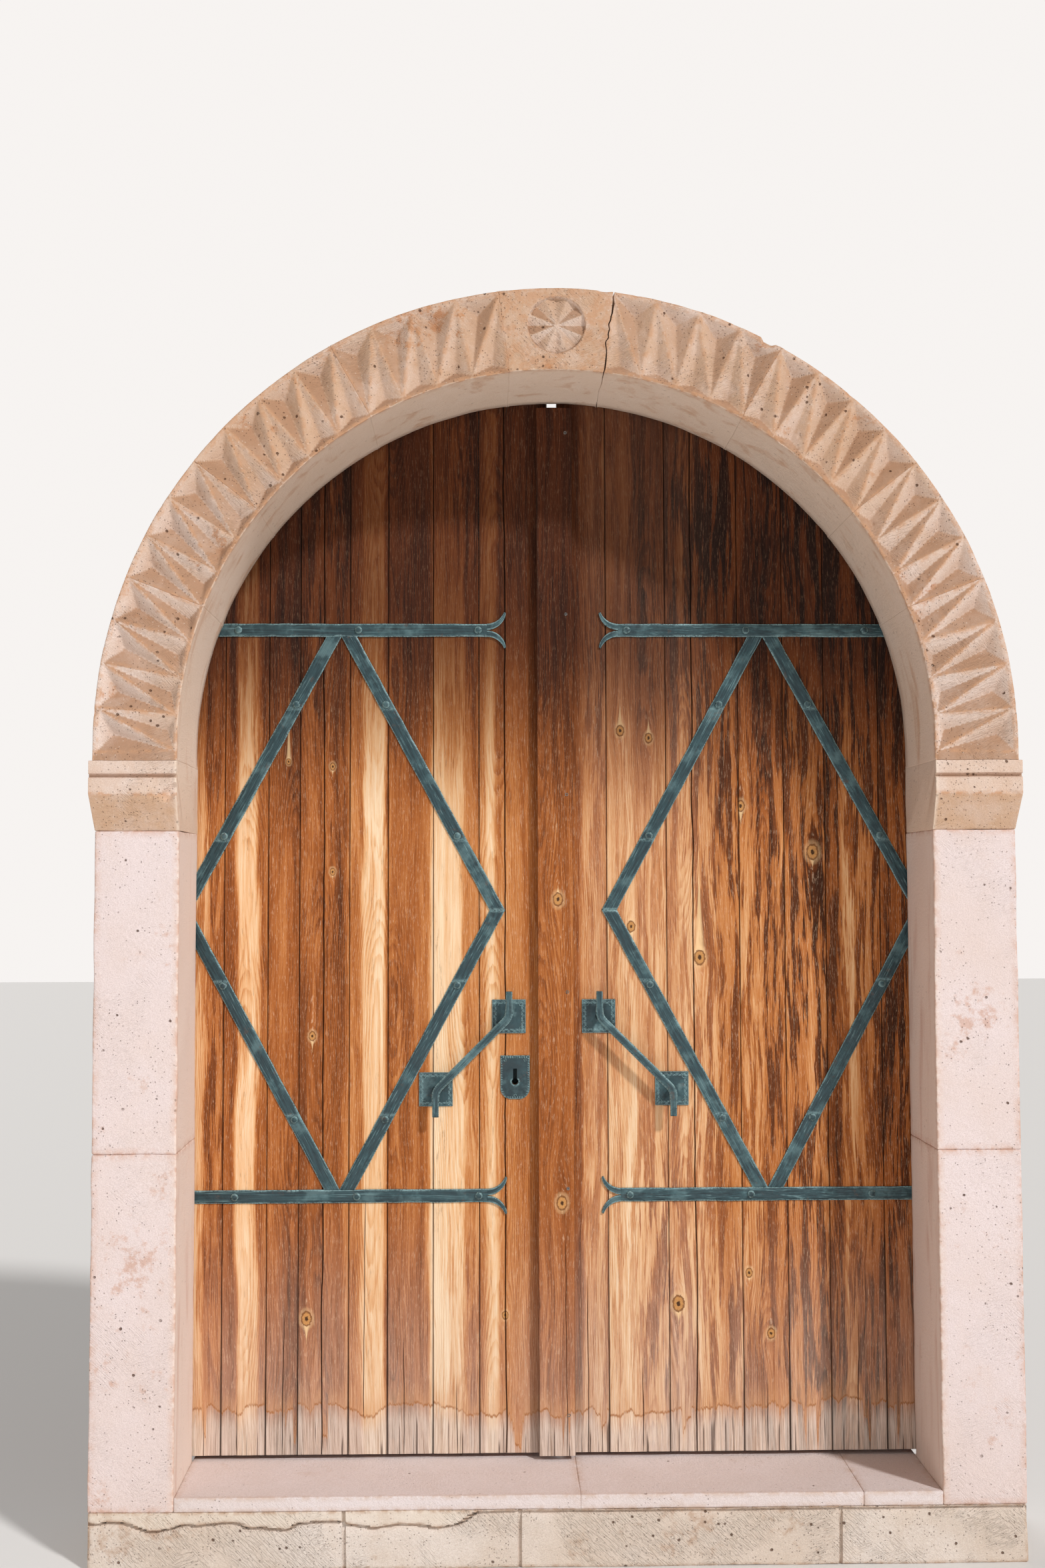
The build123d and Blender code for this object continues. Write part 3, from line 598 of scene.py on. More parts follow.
class Wood(Look):
    """Weathered pine under an old brown stain.

    The mark pale says how far the stain has gone, peel how much it flakes, dry how grey it is.
    """

    def __init__(self, name, knots, along):
        super().__init__(name)
        place, heart = self.place, self.mark("across")
        if knots:
            warp = self.bend_round(knots)
            place, heart = place + warp, heart + self.axis("X", warp)
        side, length = ("Z", "X") if along == "X" else ("X", "Z")
        shifted = self.axis(length, place) + self.mark("seed") * 1.7
        across = self.axis(side, place)
        self.grain = self.value("CombineXYZ", {0: across, 1: self.axis("Y", place), 2: shifted})
        sway = self.swing(self.noise(self.grain, (3, 3, 1.6), 2), 0.05)
        self.bent = self.grain + self.value("CombineXYZ", {0: sway})
        self.flame = self.noise(self.bent, (42, 42, 2.6), 4, 0.65)
        self.middle = self.noise(self.bent, (120, 120, 1.9), 3, 0.6)
        self.fibre = self.noise(self.bent, (430, 430, 9), 4, 0.7)
        self.late = self.late_wood(heart)
        self.split = self.splits()

    def bend_round(self, knots):
        """How far the knots bend the grain. It keeps where the knots are, and their tears."""
        warp, self.eyes, self.tears = (0.0, 0.0, 0.0), -1.0, 0.0
        for x, height, size, reach in knots:
            centre = (x, BOARD_FRONT_Y, THRESHOLD_Z + height)
            made = self.node("Group", {
                "Place": self.place, "Centre": centre, "Size": size, "Reach": reach,
                "Warp": warp, "Mask": self.eyes, "Tear": self.tears,
            }, node_tree=knot)
            warp, self.eyes, self.tears = (Value(self, made.outputs[key]) for key in KNOT_RESULTS)
        return warp

    def late_wood(self, heart):
        """The dark part of each growth ring, round a heart that lies beside the board and behind its face."""
        off = heart + self.swing(self.noise(self.grain, (0, 0, 0.9), 1), 0.09)
        sunk = self.range(self.noise(self.grain + (0, 0, 5.5), (0, 0, 0.75), 2), 0.2, 0.8, 0.004, 0.085)
        radius = self.math("SQRT", off * off + sunk * sunk)
        radius = radius + self.swing(self.noise(self.grain, (38, 38, 3.2), 3, 0.6), 0.011)
        phase = self.math("FRACT", radius / RING_PITCH)
        clear = self.range(self.noise(self.grain, (9, 9, 1.3), 1), 0.38, 0.62, 0.15, 1.0)
        return self.range(phase, 0.30, 0.88) * self.range(phase, 1.0, 0.90) * clear

    def splits(self):
        """Fine drying splits near the foot."""
        reach = self.mark("foot") + self.swing(self.noise(self.grain, (60, 60, 0), 1), 4.0)
        fine = self.range(self.noise(self.grain, (150, 150, 1.1), 2, 0.5), 0.625, 0.655)
        return fine * self.range(reach, 0.7, 1.5)

    def stained(self):
        """The stain's colour, worn along the grain, with light and dark flakes."""
        pale = self.mark("pale")
        broad = self.noise(self.bent, (24, 24, 0.5), 2, 0.5)
        ragged = self.range(self.flame + self.swing(self.fibre, 0.25), 0.46, 0.52)
        tone = pale + self.swing(broad, 0.30) + self.swing(self.flame, 0.26) + self.swing(self.middle, 0.26)
        tone = tone + self.swing(self.fibre, 0.62) + (ragged - 0.62) * self.mark("peel")
        tone = self.math("SUBTRACT", tone, self.late * (pale * 0.02 + 0.13), clamp=True)
        light_flake = self.range(self.noise(self.bent, (560, 560, 42), 3, 0.7), 0.56, 0.66, 0, 0.42)
        dark_flake = self.range(self.noise(self.bent, (300, 300, 20), 4, 0.7), 0.57, 0.64)
        dark_flake = dark_flake * self.range(self.flame, 0.54, 0.42, 0, 0.385)
        colour = self.ramp(tone, *STAIN_TONES)
        return self.layers(colour, (light_flake, (0.82, 0.56, 0.37)), (dark_flake, (0.12, 0.040, 0.012)))

    def tide(self):
        """Distance below the line to which splashing rain has bleached the wood. The line hangs in drips."""
        cusps = self.math("ABSOLUTE", self.noise(self.grain, (13, 13, 1.5), 2, 0.5) - 0.5)
        drip = self.range(self.noise(self.grain, (38, 38, 0.4), 2, 0.5), 0.57, 0.66, 0, 2.2)
        tide = self.mark("foot") + cusps * 3.4 - drip * self.range(self.mark("pale"), 0.75, 0.5)
        tide = tide + self.swing(self.noise(self.bent, (95, 95, 9), 3, 0.6), 0.6)
        return tide + self.swing(self.fibre, 0.5)

    def bleached(self, colour):
        """Silver wood below the tide line and where it is dry, a brown rim along the line, and splits."""
        tide = self.tide()
        halo = self.range(tide, -1.6, -0.05, 0, 0.40) * self.range(tide, 0.2, 0.0)
        rim = self.range(tide, -0.10, 0.0) * self.range(tide, 0.13, 0.03)
        rim = rim * self.range(self.middle, 0.35, 0.6, 0.35, 0.85)
        colour = self.layers(colour, (halo, (0.62, 0.27, 0.08)))
        silver = self.ramp(self.fibre + self.swing(self.middle, 0.5), *SILVER_TONES)
        silver = self.mix(0.22, silver, colour)
        return self.layers(
            colour,
            (self.mark("dry"), silver),
            (self.range(tide, -0.02, 1.3, 0.0, 0.92), silver),
            (self.range(tide, 0.0, 0.03, 0.0, 0.30), silver),
            (rim, (0.36, 0.13, 0.035)),
            (self.split * 0.8, (0.06, 0.03, 0.02)),
        )

    def knotted(self, colour):
        """The knots: a pale surround and tear, a dark edge, and an eye with a dark middle."""
        edge = self.eyes + self.swing(self.noise(self.place, 160, 3, 0.6), 0.5)
        eye = self.mix(self.noise(self.place, 300, 2), (0.72, 0.38, 0.13), (0.42, 0.17, 0.05))
        return self.layers(
            colour,
            (self.range(edge, -0.75, -0.15, 0, 0.30), (0.86, 0.58, 0.30)),
            (self.tears * 0.75, (0.87, 0.60, 0.32)),
            (self.range(edge, -0.06, 0.04, 0, 0.9), (0.20, 0.075, 0.022)),
            (self.range(edge, 0.16, 0.30, 0, 0.9), eye),
            (self.range(edge, 0.62, 0.76, 0, 0.95), (0.045, 0.018, 0.008)),
        )


def wood_look(name, knots=(), along="Z"):
    wood = Wood(name, knots, along)
    colour = wood.bleached(wood.stained())
    if knots:
        colour = wood.knotted(colour)
    # Painted shadow high up the leaves, and the darker own colour of the backs and ledges, laid on by one
    # mark.
    shaded = wood.mix(1.0, colour, (0.20, 0.15, 0.12), "MULTIPLY")
    colour = wood.layers(colour, (wood.mark("shade"), shaded), (wood.mark("edge"), (0.040, 0.018, 0.009)))
    height = wood.fibre * 1.1 + wood.late * 0.35 - wood.split
    return wood.finish(
        Base_Color=colour, Roughness=wood.range(wood.fibre, 0.2, 0.8, 0.92, 0.70), Specular_IOR_Level=0.22,
        Normal=wood.bump(height, 0.0010),
    )


clear_pine = wood_look("weathered_pine")
ledge_pine = wood_look("ledge_pine", along="X")


def pine_with_knots(name, left, right):
    """The pine of one board: the common one, or one with the knots that lie in the board."""
    own = [knot_row for knot_row in KNOTS if left < knot_row[0] < right]
    return wood_look(f"pine_{name}", own) if own else clear_pine


def iron_look(name, dark, middle, light, rust_share, roughness):
    """Forged iron under a thin slate coat: drawn streaks whose lightest lines are painted highlights, hammer
    marks, and edges made light by wear and by painted highlights.
    """
    look = Look(name)
    place = look.place
    cloud = look.noise(place, 15, 4, 0.6)
    fine = look.noise(place, 230, 3, 0.7)
    drawn = look.value("CombineXYZ", {0: look.mark("along") * 9.0, 1: look.mark("across") * 260.0})
    streak = look.noise(drawn + place * (16, 16, 16), 1.0, 3, 0.6)
    rust = look.noise(place, 29, 4, 0.7)
    colour = look.layers(
        dark,
        (look.range(streak, 0.36, 0.60), middle),
        (look.range(cloud, 0.36, 0.66, 0.55, 0), dark),
        (look.range(cloud, 0.50, 0.72, 0, 0.5), tint(0.5, middle, light)),
        # Lightest streaks: drawn marks, and painted highlight lines along the bars.
        (look.range(streak, 0.60, 0.70, 0, 0.42), light),
        # Light where the pieces mark wear; on the bars' front edges it is also a painted highlight.
        (look.mark("wear") * look.range(fine, 0.33, 0.58), light),
        (look.range(rust, 0.60, 0.72, 0, rust_share), (0.15, 0.058, 0.022)),
    )
    height = look.noise(place, 70, 2, 0.4) * 1.6 + fine * 0.3 + streak * 0.5
    rough = look.range(cloud, 0.3, 0.7, roughness - 0.08, roughness + 0.1)
    return look.finish(Base_Color=colour, Metallic=0.25, Roughness=rough, Normal=look.bump(height, 0.0010))


forged_iron = iron_look(
    "forged_iron", (0.009, 0.025, 0.031), (0.030, 0.078, 0.090), (0.24, 0.38, 0.39), 0.30, 0.50,
)
bare_iron = iron_look(
    "bare_iron", (0.045, 0.040, 0.036), (0.085, 0.076, 0.068), (0.27, 0.25, 0.23), 0.7, 0.45,
)

def box_of(node):
    """Low corner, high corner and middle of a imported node."""
    low, high = (np.array(corner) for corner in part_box(node))
    return low, high, (low + high) / 2


# Stone

def ring_place(sign, angle, radius):
    """X and Z on the arch. Past the springing the ring runs straight down."""
    turn = np.minimum(angle, pi / 2)
    drop = (angle - turn) * INNER_RADIUS
    return sign * radius * np.sin(turn), SPRINGING_Z + radius * np.cos(turn) - drop


def pit_depth(x, z, corners, sunk, depth):
    """Depth of a three-sided pit: zero on its rim, negative outside, deepest at its sunk point."""
    inset = CARVING_RIDGE / 2
    shares = []
    for (ax, az), (bx, bz) in zip(corners, corners[1:] + corners[:1]):
        run = hypot(bx - ax, bz - az)
        side_x, side_z = (bz - az) / run, (ax - bx) / run
        sunk_distance = (sunk[0] - ax) * side_x + (sunk[1] - az) * side_z
        here = ((x - ax) * side_x + (z - az) * side_z) * np.sign(sunk_distance)
        shares.append((here - inset) / (abs(sunk_distance) - inset))
    return depth * np.minimum.reduce(shares)


def bay_depth(sign, x, z, bay):
    """Depth of the two pits of one bay, counted from the keystone."""
    upper = KEYSTONE_HALF_ANGLE + bay * BAY_ANGLE
    lower = upper + BAY_ANGLE
    outer, inner = OUTER_RADIUS - CARVING_MARGIN, INNER_RADIUS + CARVING_MARGIN

    def point(angle, radius):
        return (sign * radius * sin(angle), SPRINGING_Z + radius * cos(angle))

    outer_sunk = point(upper + OUTER_PIT["share"] * BAY_ANGLE, OUTER_RADIUS - OUTER_PIT["inset"])
    inner_sunk = point(upper + INNER_PIT["share"] * BAY_ANGLE, INNER_RADIUS + INNER_PIT["inset"])
    outer_pit = [point(upper, outer), point(lower, outer), point(lower, inner)]
    inner_pit = [point(upper, inner), point(lower, inner), point(upper, outer)]
    return np.maximum(
        pit_depth(x, z, outer_pit, outer_sunk, OUTER_PIT["depth"]),
        pit_depth(x, z, inner_pit, inner_sunk, INNER_PIT["depth"]),
    )


def soften(depth, edge=0.0014):
    """Depth with its rim rounded, and none outside."""
    return 0.5 * (depth + np.sqrt(depth * depth + edge * edge))


def rosette_depth(x, z):
    """Depth of the sunk disc, whose floor is folded into petals."""
    dx, dz = x, z - (SPRINGING_Z + ROSETTE["centre"])
    radius = np.hypot(dx, dz)
    turn = np.arctan2(dz, dx) * ROSETTE["petals"] / (2 * pi)
    fold = np.abs(2 * (turn - np.floor(turn)) - 1)
    rim = ROSETTE["ridge"] + fold * (ROSETTE["valley"] - ROSETTE["ridge"])
    floor = ROSETTE["middle"] + np.minimum(radius / ROSETTE["radius"], 1) * (rim - ROSETTE["middle"])
    inside = smooth_step(radius, ROSETTE["radius"] + 0.0012, ROSETTE["radius"] - 0.0018)
    return floor * inside


def pores(points, front, count, seed):
    """Depth of open pores at chosen places of a front face."""
    choice = np.random.default_rng(seed)
    total = np.zeros(len(points))
    for spot in choice.choice(np.nonzero(front)[0], count):
        size = choice.uniform(0.0025, 0.006)
        away = np.hypot(points[:, 0] - points[spot, 0], points[:, 2] - points[spot, 2])
        total += choice.uniform(0.4, 0.9) * size * peak(away, 0, size)
    return total * front


def ring_block(sign, upper, lower, cell, crack):
    """A plain stone of the arch: its lattice, its faces, and its points before and after it is bent.

    An end beside the open crack is marked -1 or 1 in crack, for the way it draws back.
    """
    middle_radius = INNER_RADIUS + RING_WIDTH / 2
    drop = STILT_HEIGHT if lower > pi / 2 - 0.001 else 0.0
    length = (lower - upper) * middle_radius
    size = np.array([length + drop, RING_WIDTH, REAR_Y - RING_Y])
    depth_lines = np.concatenate([[0, 0.0006, 0.002, 0.005, 0.012], np.linspace(0.03, size[2], 9)])
    flat, faces = lattice(lines(size[0], cell, 0.004), lines(size[1], cell, 0.004), depth_lines)
    at_end = from_ends(flat[:, 0], size[0]) < 0.006
    points = round_arrises(flat, size, np.where(at_end, 0.0012, 0.0036))
    for end, way in zip((0, size[0]), crack):
        near = smooth_step(np.abs(flat[:, 0] - end), 0.014, 0.0) * abs(way)
        opened = 0.0003 + 0.0012 * smooth_step(flat[:, 2], 0.06, 0.01)
        bend = 0.0085 * fractal(join(0, flat[:, 1], flat[:, 2] * 0.2), 19, 11)
        points[:, 0] += near * (bend + way * opened * (flat[:, 2] < 0.2))
    angle = upper + np.minimum(points[:, 0], length) / middle_radius
    x, z = ring_place(sign, angle, INNER_RADIUS + points[:, 1])
    return flat, faces, points, join(x, RING_Y + points[:, 2], z - np.maximum(points[:, 0] - length, 0))


def ring_stone(name, sign, upper, lower, depth_of, cell, crack=(0, 0), chips=(), shallow=0.0):
    """One stone of the arch, with its front carved, its pores open and its arrises worn."""
    flat, faces, points, world = ring_block(sign, upper, lower, cell, crack)
    x, _, z = world.T
    wobble = 0.0010 * fractal(world, 24, 2, 2)
    carved = depth_of(x + wobble, z + 0.8 * wobble)
    slope = (depth_of(x, z + 0.001) - depth_of(x, z - 0.001)) / 0.002
    # Which carved facets face up and which face down, for the painted shading.
    faces_up, faces_down = smooth_step(slope, 0.04, 0.30), smooth_step(slope, -0.04, -0.40)
    relief = soften(carved)
    sunk = np.clip((relief - shallow) / (0.018 - shallow), 0, 1)
    front = (flat[:, 2] < 0.001) * smooth_step(from_ends(points[:, 1], RING_WIDTH), 0.0005, 0.004)
    near_rim = peak(carved, 0, 0.0026)
    at_arris = smooth_step(from_ends(flat[:, 1], RING_WIDTH), 0.012, 0.0) * smooth_step(flat[:, 2], 0.02, 0.0)
    world[:, 1] += front * (relief + 0.004 * near_rim * smooth_step(fractal(world, 17, 8), 0.5, 1.3))
    world[:, 1] += pores(world, front, 26, sum(name.encode()))
    world[:, 1] += at_arris * 0.007 * smooth_step(fractal(world, 30, 4), 0.30, 1.1)
    for chip in chips:
        world = dent(world, *chip)
    world = weather(world, 0.0009, 14)
    made = Shell()
    made.add(
        world, faces,
        wear=np.maximum(0.8 * front * near_rim, at_arris),
        smooth=(flat[:, 1] < 0.0005).astype(float),
        # Painted shading in the deep parts of the pits and on facets that face up.
        hollow=front * np.maximum(0.45 * sunk, faces_up),
        # Painted shadow, strongest towards the top of the ring; weaker on facets that face down, as painted
        # light from below.
        tan=(0.08 + 0.72 * smooth_step(world[:, 2], 2.35, 3.05)) * (1 - 0.55 * front * faces_down),
    )
    made.piece(name, "portal", carved_stone, "carved_stone", 50)


def make_ring():
    half = KEYSTONE_HALF_ANGLE
    ring_stone("keystone", 1, -half, half, rosette_depth, KEYSTONE_CELL, (0, -1), shallow=ROSETTE["ridge"])
    break_angle = radians(27.8)
    rim_break = (OUTER_RADIUS * sin(break_angle), RING_Y, SPRINGING_Z + OUTER_RADIUS * cos(break_angle))
    for side, sign in SIDES.items():
        bay = 0
        for number, bays in enumerate(BAYS_PER_STONE, start=1):
            upper = KEYSTONE_HALF_ANGLE + bay * BAY_ANGLE
            last = number == len(BAYS_PER_STONE)
            lower = pi / 2 if last else upper + bays * BAY_ANGLE

            def depth_of(x, z, first=bay, count=bays):
                return np.maximum.reduce([bay_depth(sign, x, z, n) for n in range(first, first + count)])

            cracked = side == "right" and number == 1
            chips = [(rim_break, 0.024, (-0.004, 0.008, -0.009))] if cracked else []
            node, crack = f"voussoir_{side}_{number}", (int(cracked), 0)
            ring_stone(node, sign, upper, lower, depth_of, VOUSSOIR_CELL, crack, chips)
            bay += bays


def stone_block(node, material, slot, cells, arris, amount, soffit_side=0, extra=(), recess=None):
    """A plain squared stone, with worn arrises and slightly uneven faces.

    Extra lattice lines are given along X. A recess gives how far the front lies back at X and Z.
    """
    low, high, _ = box_of(node)
    size = high - low
    added = ([x - low[0] for x in extra], (), ())
    sides = [lines(length, cell, arris, own) for length, cell, own in zip(size, cells, added)]
    points, faces = lattice(*sides)
    flat = points + low
    radius = arris * (0.62 + 0.38 * np.clip(fractal(flat, 9, 5), -1, 1))
    points = round_arrises(points, size, radius) + low
    wear = smooth_step(np.sort(np.minimum(flat - low, high - flat), axis=1)[:, 1], 0.012, 0.0)
    smooth = 0.0
    if soffit_side:
        inner = low[0] if soffit_side > 0 else high[0]
        smooth = smooth_step(np.abs(flat[:, 0] - inner), 0.01, 0.0)
    if recess:
        front = smooth_step(flat[:, 1], low[1] + 0.012, low[1])
        back, smooth, bare = recess(flat[:, 0], flat[:, 2])
        points[:, 1] += front * back
        wear = np.maximum(wear, front * bare)
    points = weather(points, amount, 8)
    points[:, 2] = np.maximum(points[:, 2], 0)
    made = Shell()
    made.add(points, faces, wear=wear, smooth=smooth)
    return made.piece(node, "portal", material, slot, 50)


def footing_recess(x, z):
    """How far the footing's face lies back, how smooth it is, and where its edges are bare.

    A skin of plaster hangs down at the left, to a ragged edge over a dark undercut. Open joints
    part the stones at the right.
    """
    plaster = smooth_step(x, -0.20, -0.28)
    edge = FOOTING_HEIGHT - 0.003 - plaster * (0.028 + 0.016 * fractal(join(x, 0, 0), 7, 4))
    below = edge - z
    back = smooth_step(below, 0.0, 0.003) * (0.005 + 0.018 * np.exp(-np.maximum(below, 0) / 0.008))
    for joint in FOOTING_JOINTS:
        back = np.maximum(back, 0.014 * smooth_step(np.abs(x - joint), 0.005, 0.003))
    return back, 0.5 * plaster * smooth_step(below, 0.004, -0.002), peak(below, 0.001, 0.006)


def impost_section(levels):
    """The impost's outline in Y and Z, finely divided, with its corners eased."""
    top, groove_top, groove_bottom, band_bottom, bottom = levels
    groove_y = RING_Y + IMPOST["groove_depth"]
    corners = [
        (REAR_Y, top), (RING_Y, top), (RING_Y, groove_top), (groove_y, groove_top),
        (groove_y, groove_bottom), (RING_Y, groove_bottom), (RING_Y, band_bottom),
        (WALL_Y, bottom), (REAR_Y, bottom),
    ]
    section = []
    for start, end in zip(np.array(corners), np.roll(corners, -1, axis=0)):
        run = np.linalg.norm(end - start)
        count = max(3, round(run / 0.006))
        shares = np.concatenate([[0.0, 0.0012 / run], np.arange(1, count) / count, [1 - 0.0012 / run]])
        section += [start + share * (end - start) for share in shares]
    section = np.array(section)
    for _ in range(2):
        beside = np.roll(section, 1, axis=0) + np.roll(section, -1, axis=0)
        section = 0.5 * section + 0.25 * beside
    return section


def make_impost(side):
    """The grooved and bevelled band under the arch: its section swept along X."""
    drops = (IMPOST["upper"], IMPOST["groove"], IMPOST["lower"], IMPOST["bevel"])
    levels = SPRINGING_Z - STILT_HEIGHT - np.cumsum([0, *drops])
    groove_bottom, band_bottom, bottom = levels[2:]
    section = impost_section(levels)
    away = section - section.mean(axis=0)
    away /= np.linalg.norm(away, axis=1)[:, None]
    length = RING_WIDTH + IMPOST["overhang"]
    ends = np.array([0, 0.0004, 0.0018])
    stations = np.concatenate([ends, np.linspace(0.005, length - 0.005, 40), length - ends[::-1]])
    rings = []
    for station, shrink in zip(stations, np.interp(from_ends(stations, length), ends, ends[::-1])):
        ring = section - shrink * away
        taper = IMPOST["overhang"] * np.clip((band_bottom - ring[:, 1]) / IMPOST["bevel"], 0, 1)
        across = station * (length - taper) / length
        rings.append(join(SIDES[side] * (INNER_RADIUS + across), ring[:, 0], ring[:, 1]))
    points, count = np.concatenate(rings), len(section)
    faces = [
        (low + n, low + (n + 1) % count, low + count + (n + 1) % count, low + count + n)
        for low in range(0, len(points) - count, count) for n in range(count)
    ]
    faces += [range(count), range(len(points) - count, len(points))]

    front = smooth_step(points[:, 1], WALL_Y + 0.01, RING_Y + 0.004)
    lower_edge = peak(points[:, 2], band_bottom, 0.006) * front
    ragged = smooth_step(fractal(points, 26, 6), 0.1, 1.1)
    points[:, 1] += lower_edge * 0.006 * ragged
    points[:, 2] -= smooth_step(points[:, 2], bottom + 0.02, bottom) * front * 0.004 * ragged
    if side == "left":
        for centre in ((-1.006, RING_Y, band_bottom + 0.010), (-1.024, RING_Y, band_bottom - 0.004)):
            points = dent(points, centre, 0.022, (-0.001, 0.014, 0.001))
    points = weather(points, 0.0009, 14)
    made = Shell()
    made.add(
        points, faces, wear=np.maximum(lower_edge, 0.15 * front),
        # Painted shading in the impost's groove.
        hollow=0.8 * peak(points[:, 2], groove_bottom + 0.005, 0.005) * front,
        # Painted shading on the impost's bevelled underside.
        tan=0.10 + 0.75 * smooth_step(points[:, 2], band_bottom + 0.002, band_bottom - 0.006),
        smooth=smooth_step(np.abs(np.abs(points[:, 0]) - INNER_RADIUS), 0.01, 0.0),
    )
    made.piece(f"impost_{side}", "portal", carved_stone, "carved_stone", 45)


def make_stone():
    make_ring()
    for side, sign in SIDES.items():
        make_impost(side)
        for level in ("lower", "upper"):
            stone_block(f"jamb_{side}_{level}", jamb_stone, "carved_stone", JAMB_CELLS, 0.006, 0.0014, sign)
    for number in (1, 2, 3):
        node = f"threshold_slab_{number}"
        slab = stone_block(node, threshold_stone, "threshold_stone", THRESHOLD_CELLS, 0.005, 0.0009)
        if number == 2:
            cut_socket(slab)
    joint_lines = [x + step for x in FOOTING_JOINTS for step in (-0.0055, -0.003, 0.003, 0.0055)]
    stone_block(
        "footing_course", footing_stone, "footing_stone", FOOTING_CELLS, 0.010, 0.0022,
        extra=joint_lines, recess=footing_recess,
    )


# Wood

# Stretches of a leaf where the stain has worn off or stayed: from X, to X, paleness
TONES = {
    "left": (
        (-1.085, -1.012, 0.46), (-1.012, -0.972, 0.72), (-0.972, -0.886, 0.40), (-0.886, -0.827, 0.84),
        (-0.827, -0.722, 0.39), (-0.722, -0.690, 0.30), (-0.690, -0.583, 0.38), (-0.583, -0.536, 0.56),
        (-0.536, -0.472, 0.90), (-0.472, -0.347, 0.45), (-0.347, -0.300, 0.95), (-0.300, -0.253, 0.84),
        (-0.253, -0.206, 0.48), (-0.206, -0.187, 0.62), (-0.187, -0.160, 0.86), (-0.160, -0.084, 0.54),
        (-0.084, -0.014, 0.42),
    ),
    # The right leaf is set darker, most towards its hinge: partly stain, partly painted shadow.
    "right": (
        (0.014, 0.078, 0.42), (0.078, 0.151, 0.64), (0.151, 0.232, 0.73), (0.232, 0.320, 0.58),
        (0.320, 0.352, 0.50), (0.352, 0.400, 0.66), (0.400, 0.460, 0.56), (0.460, 0.526, 0.42),
        (0.526, 0.590, 0.48), (0.590, 0.654, 0.40), (0.654, 0.715, 0.36), (0.715, 0.771, 0.44),
        (0.771, 0.815, 0.36), (0.815, 0.850, 0.62), (0.850, 0.925, 0.36), (0.925, 1.085, 0.28),
    ),
}
CRACKS = {"left": (-0.646, -0.136), "right": (0.396,)}
CRACK_SIZE = (0.0036, 0.010)
CHECKS = {
    "left": (
        (-0.752, 0.20, 0.62), (-0.418, 0.20, 0.55), (-0.530, 0.30, 0.95), (-0.272, 0.20, 0.44),
        (-0.880, 0.20, 0.40),
    ),
    "right": ((0.092, 0.20, 0.70), (0.243, 0.20, 0.48), (0.590, 0.20, 0.42), (0.845, 0.20, 0.60)),
}
CHECK_SIZE = (0.0022, 0.006)
STRIP_CHECK = (0.031, 0.20, 0.85, 0.0018, 0.004)
TIDE_Z = THRESHOLD_Z + 0.125
TIDE_SPAN = 0.045


def pale_at(side, place):
    """Paleness across a leaf, with the edges of the stretches softened."""
    total = np.zeros(len(place))
    for start, end, value in TONES[side]:
        begun = smooth_step(place, start - 0.005, start + 0.005)
        total += value * begun * (1 - smooth_step(place, end - 0.005, end + 0.005))
    return total


def board_marks(spot, side, seed, at_rear, at_seam, groove_mark, pale):
    """What the material of a board reads at its points: how pale, dirty, flaking and dry it is, where a
    painted shadow darkens it high up, and where its back has a darker colour.
    """
    x, _, z = spot.T
    sway = 0.007 * fractal(join(x * 0.3, 0, z), (2, 2, 2.6), seed)
    base = pale_at(side, x + sway) if pale is None else pale
    base = base + at_rear * (0.44 - base)
    # Higher up the leaves the stain is darker: partly stain kept there, partly a painted shadow.
    high_shadow_and_kept_stain = smooth_step(z + 0.06 * fractal(spot, (5, 5, 0.5), 31), 1.85, 2.55)
    stays = 0.10 * fractal(spot, (12, 12, 1.0), seed + 9)
    dirt = np.clip(0.28 + 0.25 * fractal(spot, (9, 9, 3), seed) + 0.4 * smooth_step(z, 0.6, 0.25), 0, 0.9)
    flaking = 0.05 + 0.22 * smooth_step(x, 0.10, 0.50) + 0.16 * fractal(spot, (4, 4, 1.5), seed + 4)
    bleached = smooth_step(z, 0.95, 0.25) * (0.30 + 0.15 * fractal(spot, (10, 10, 1), seed + 6))
    dry_band = 0.12 * smooth_step(x, 0.05, 0.12) * smooth_step(x, 0.5, 0.35)
    tide_z = TIDE_Z + 0.022 * noise(spot, (8, 8, 0.1), seed + 2)
    return {
        "pale": np.clip(base * (1 - 0.42 * high_shadow_and_kept_stain) + stays, 0, 1.1),
        "seed": float(seed),
        "foot": (tide_z - z) / TIDE_SPAN - 9 * at_rear,
        # Painted shadow high up the front; on the back the same mark gives the wood's own darker colour.
        "shade": np.maximum(0.90 * high_shadow_and_kept_stain * (1 - at_rear), 0.30 * at_rear),
        "edge": np.maximum(at_seam * dirt, 0.8 * groove_mark),
        "peel": np.clip(flaking, 0, 0.42) * (1 - at_rear),
        "dry": np.clip(bleached + dry_band, 0, 0.6),
    }


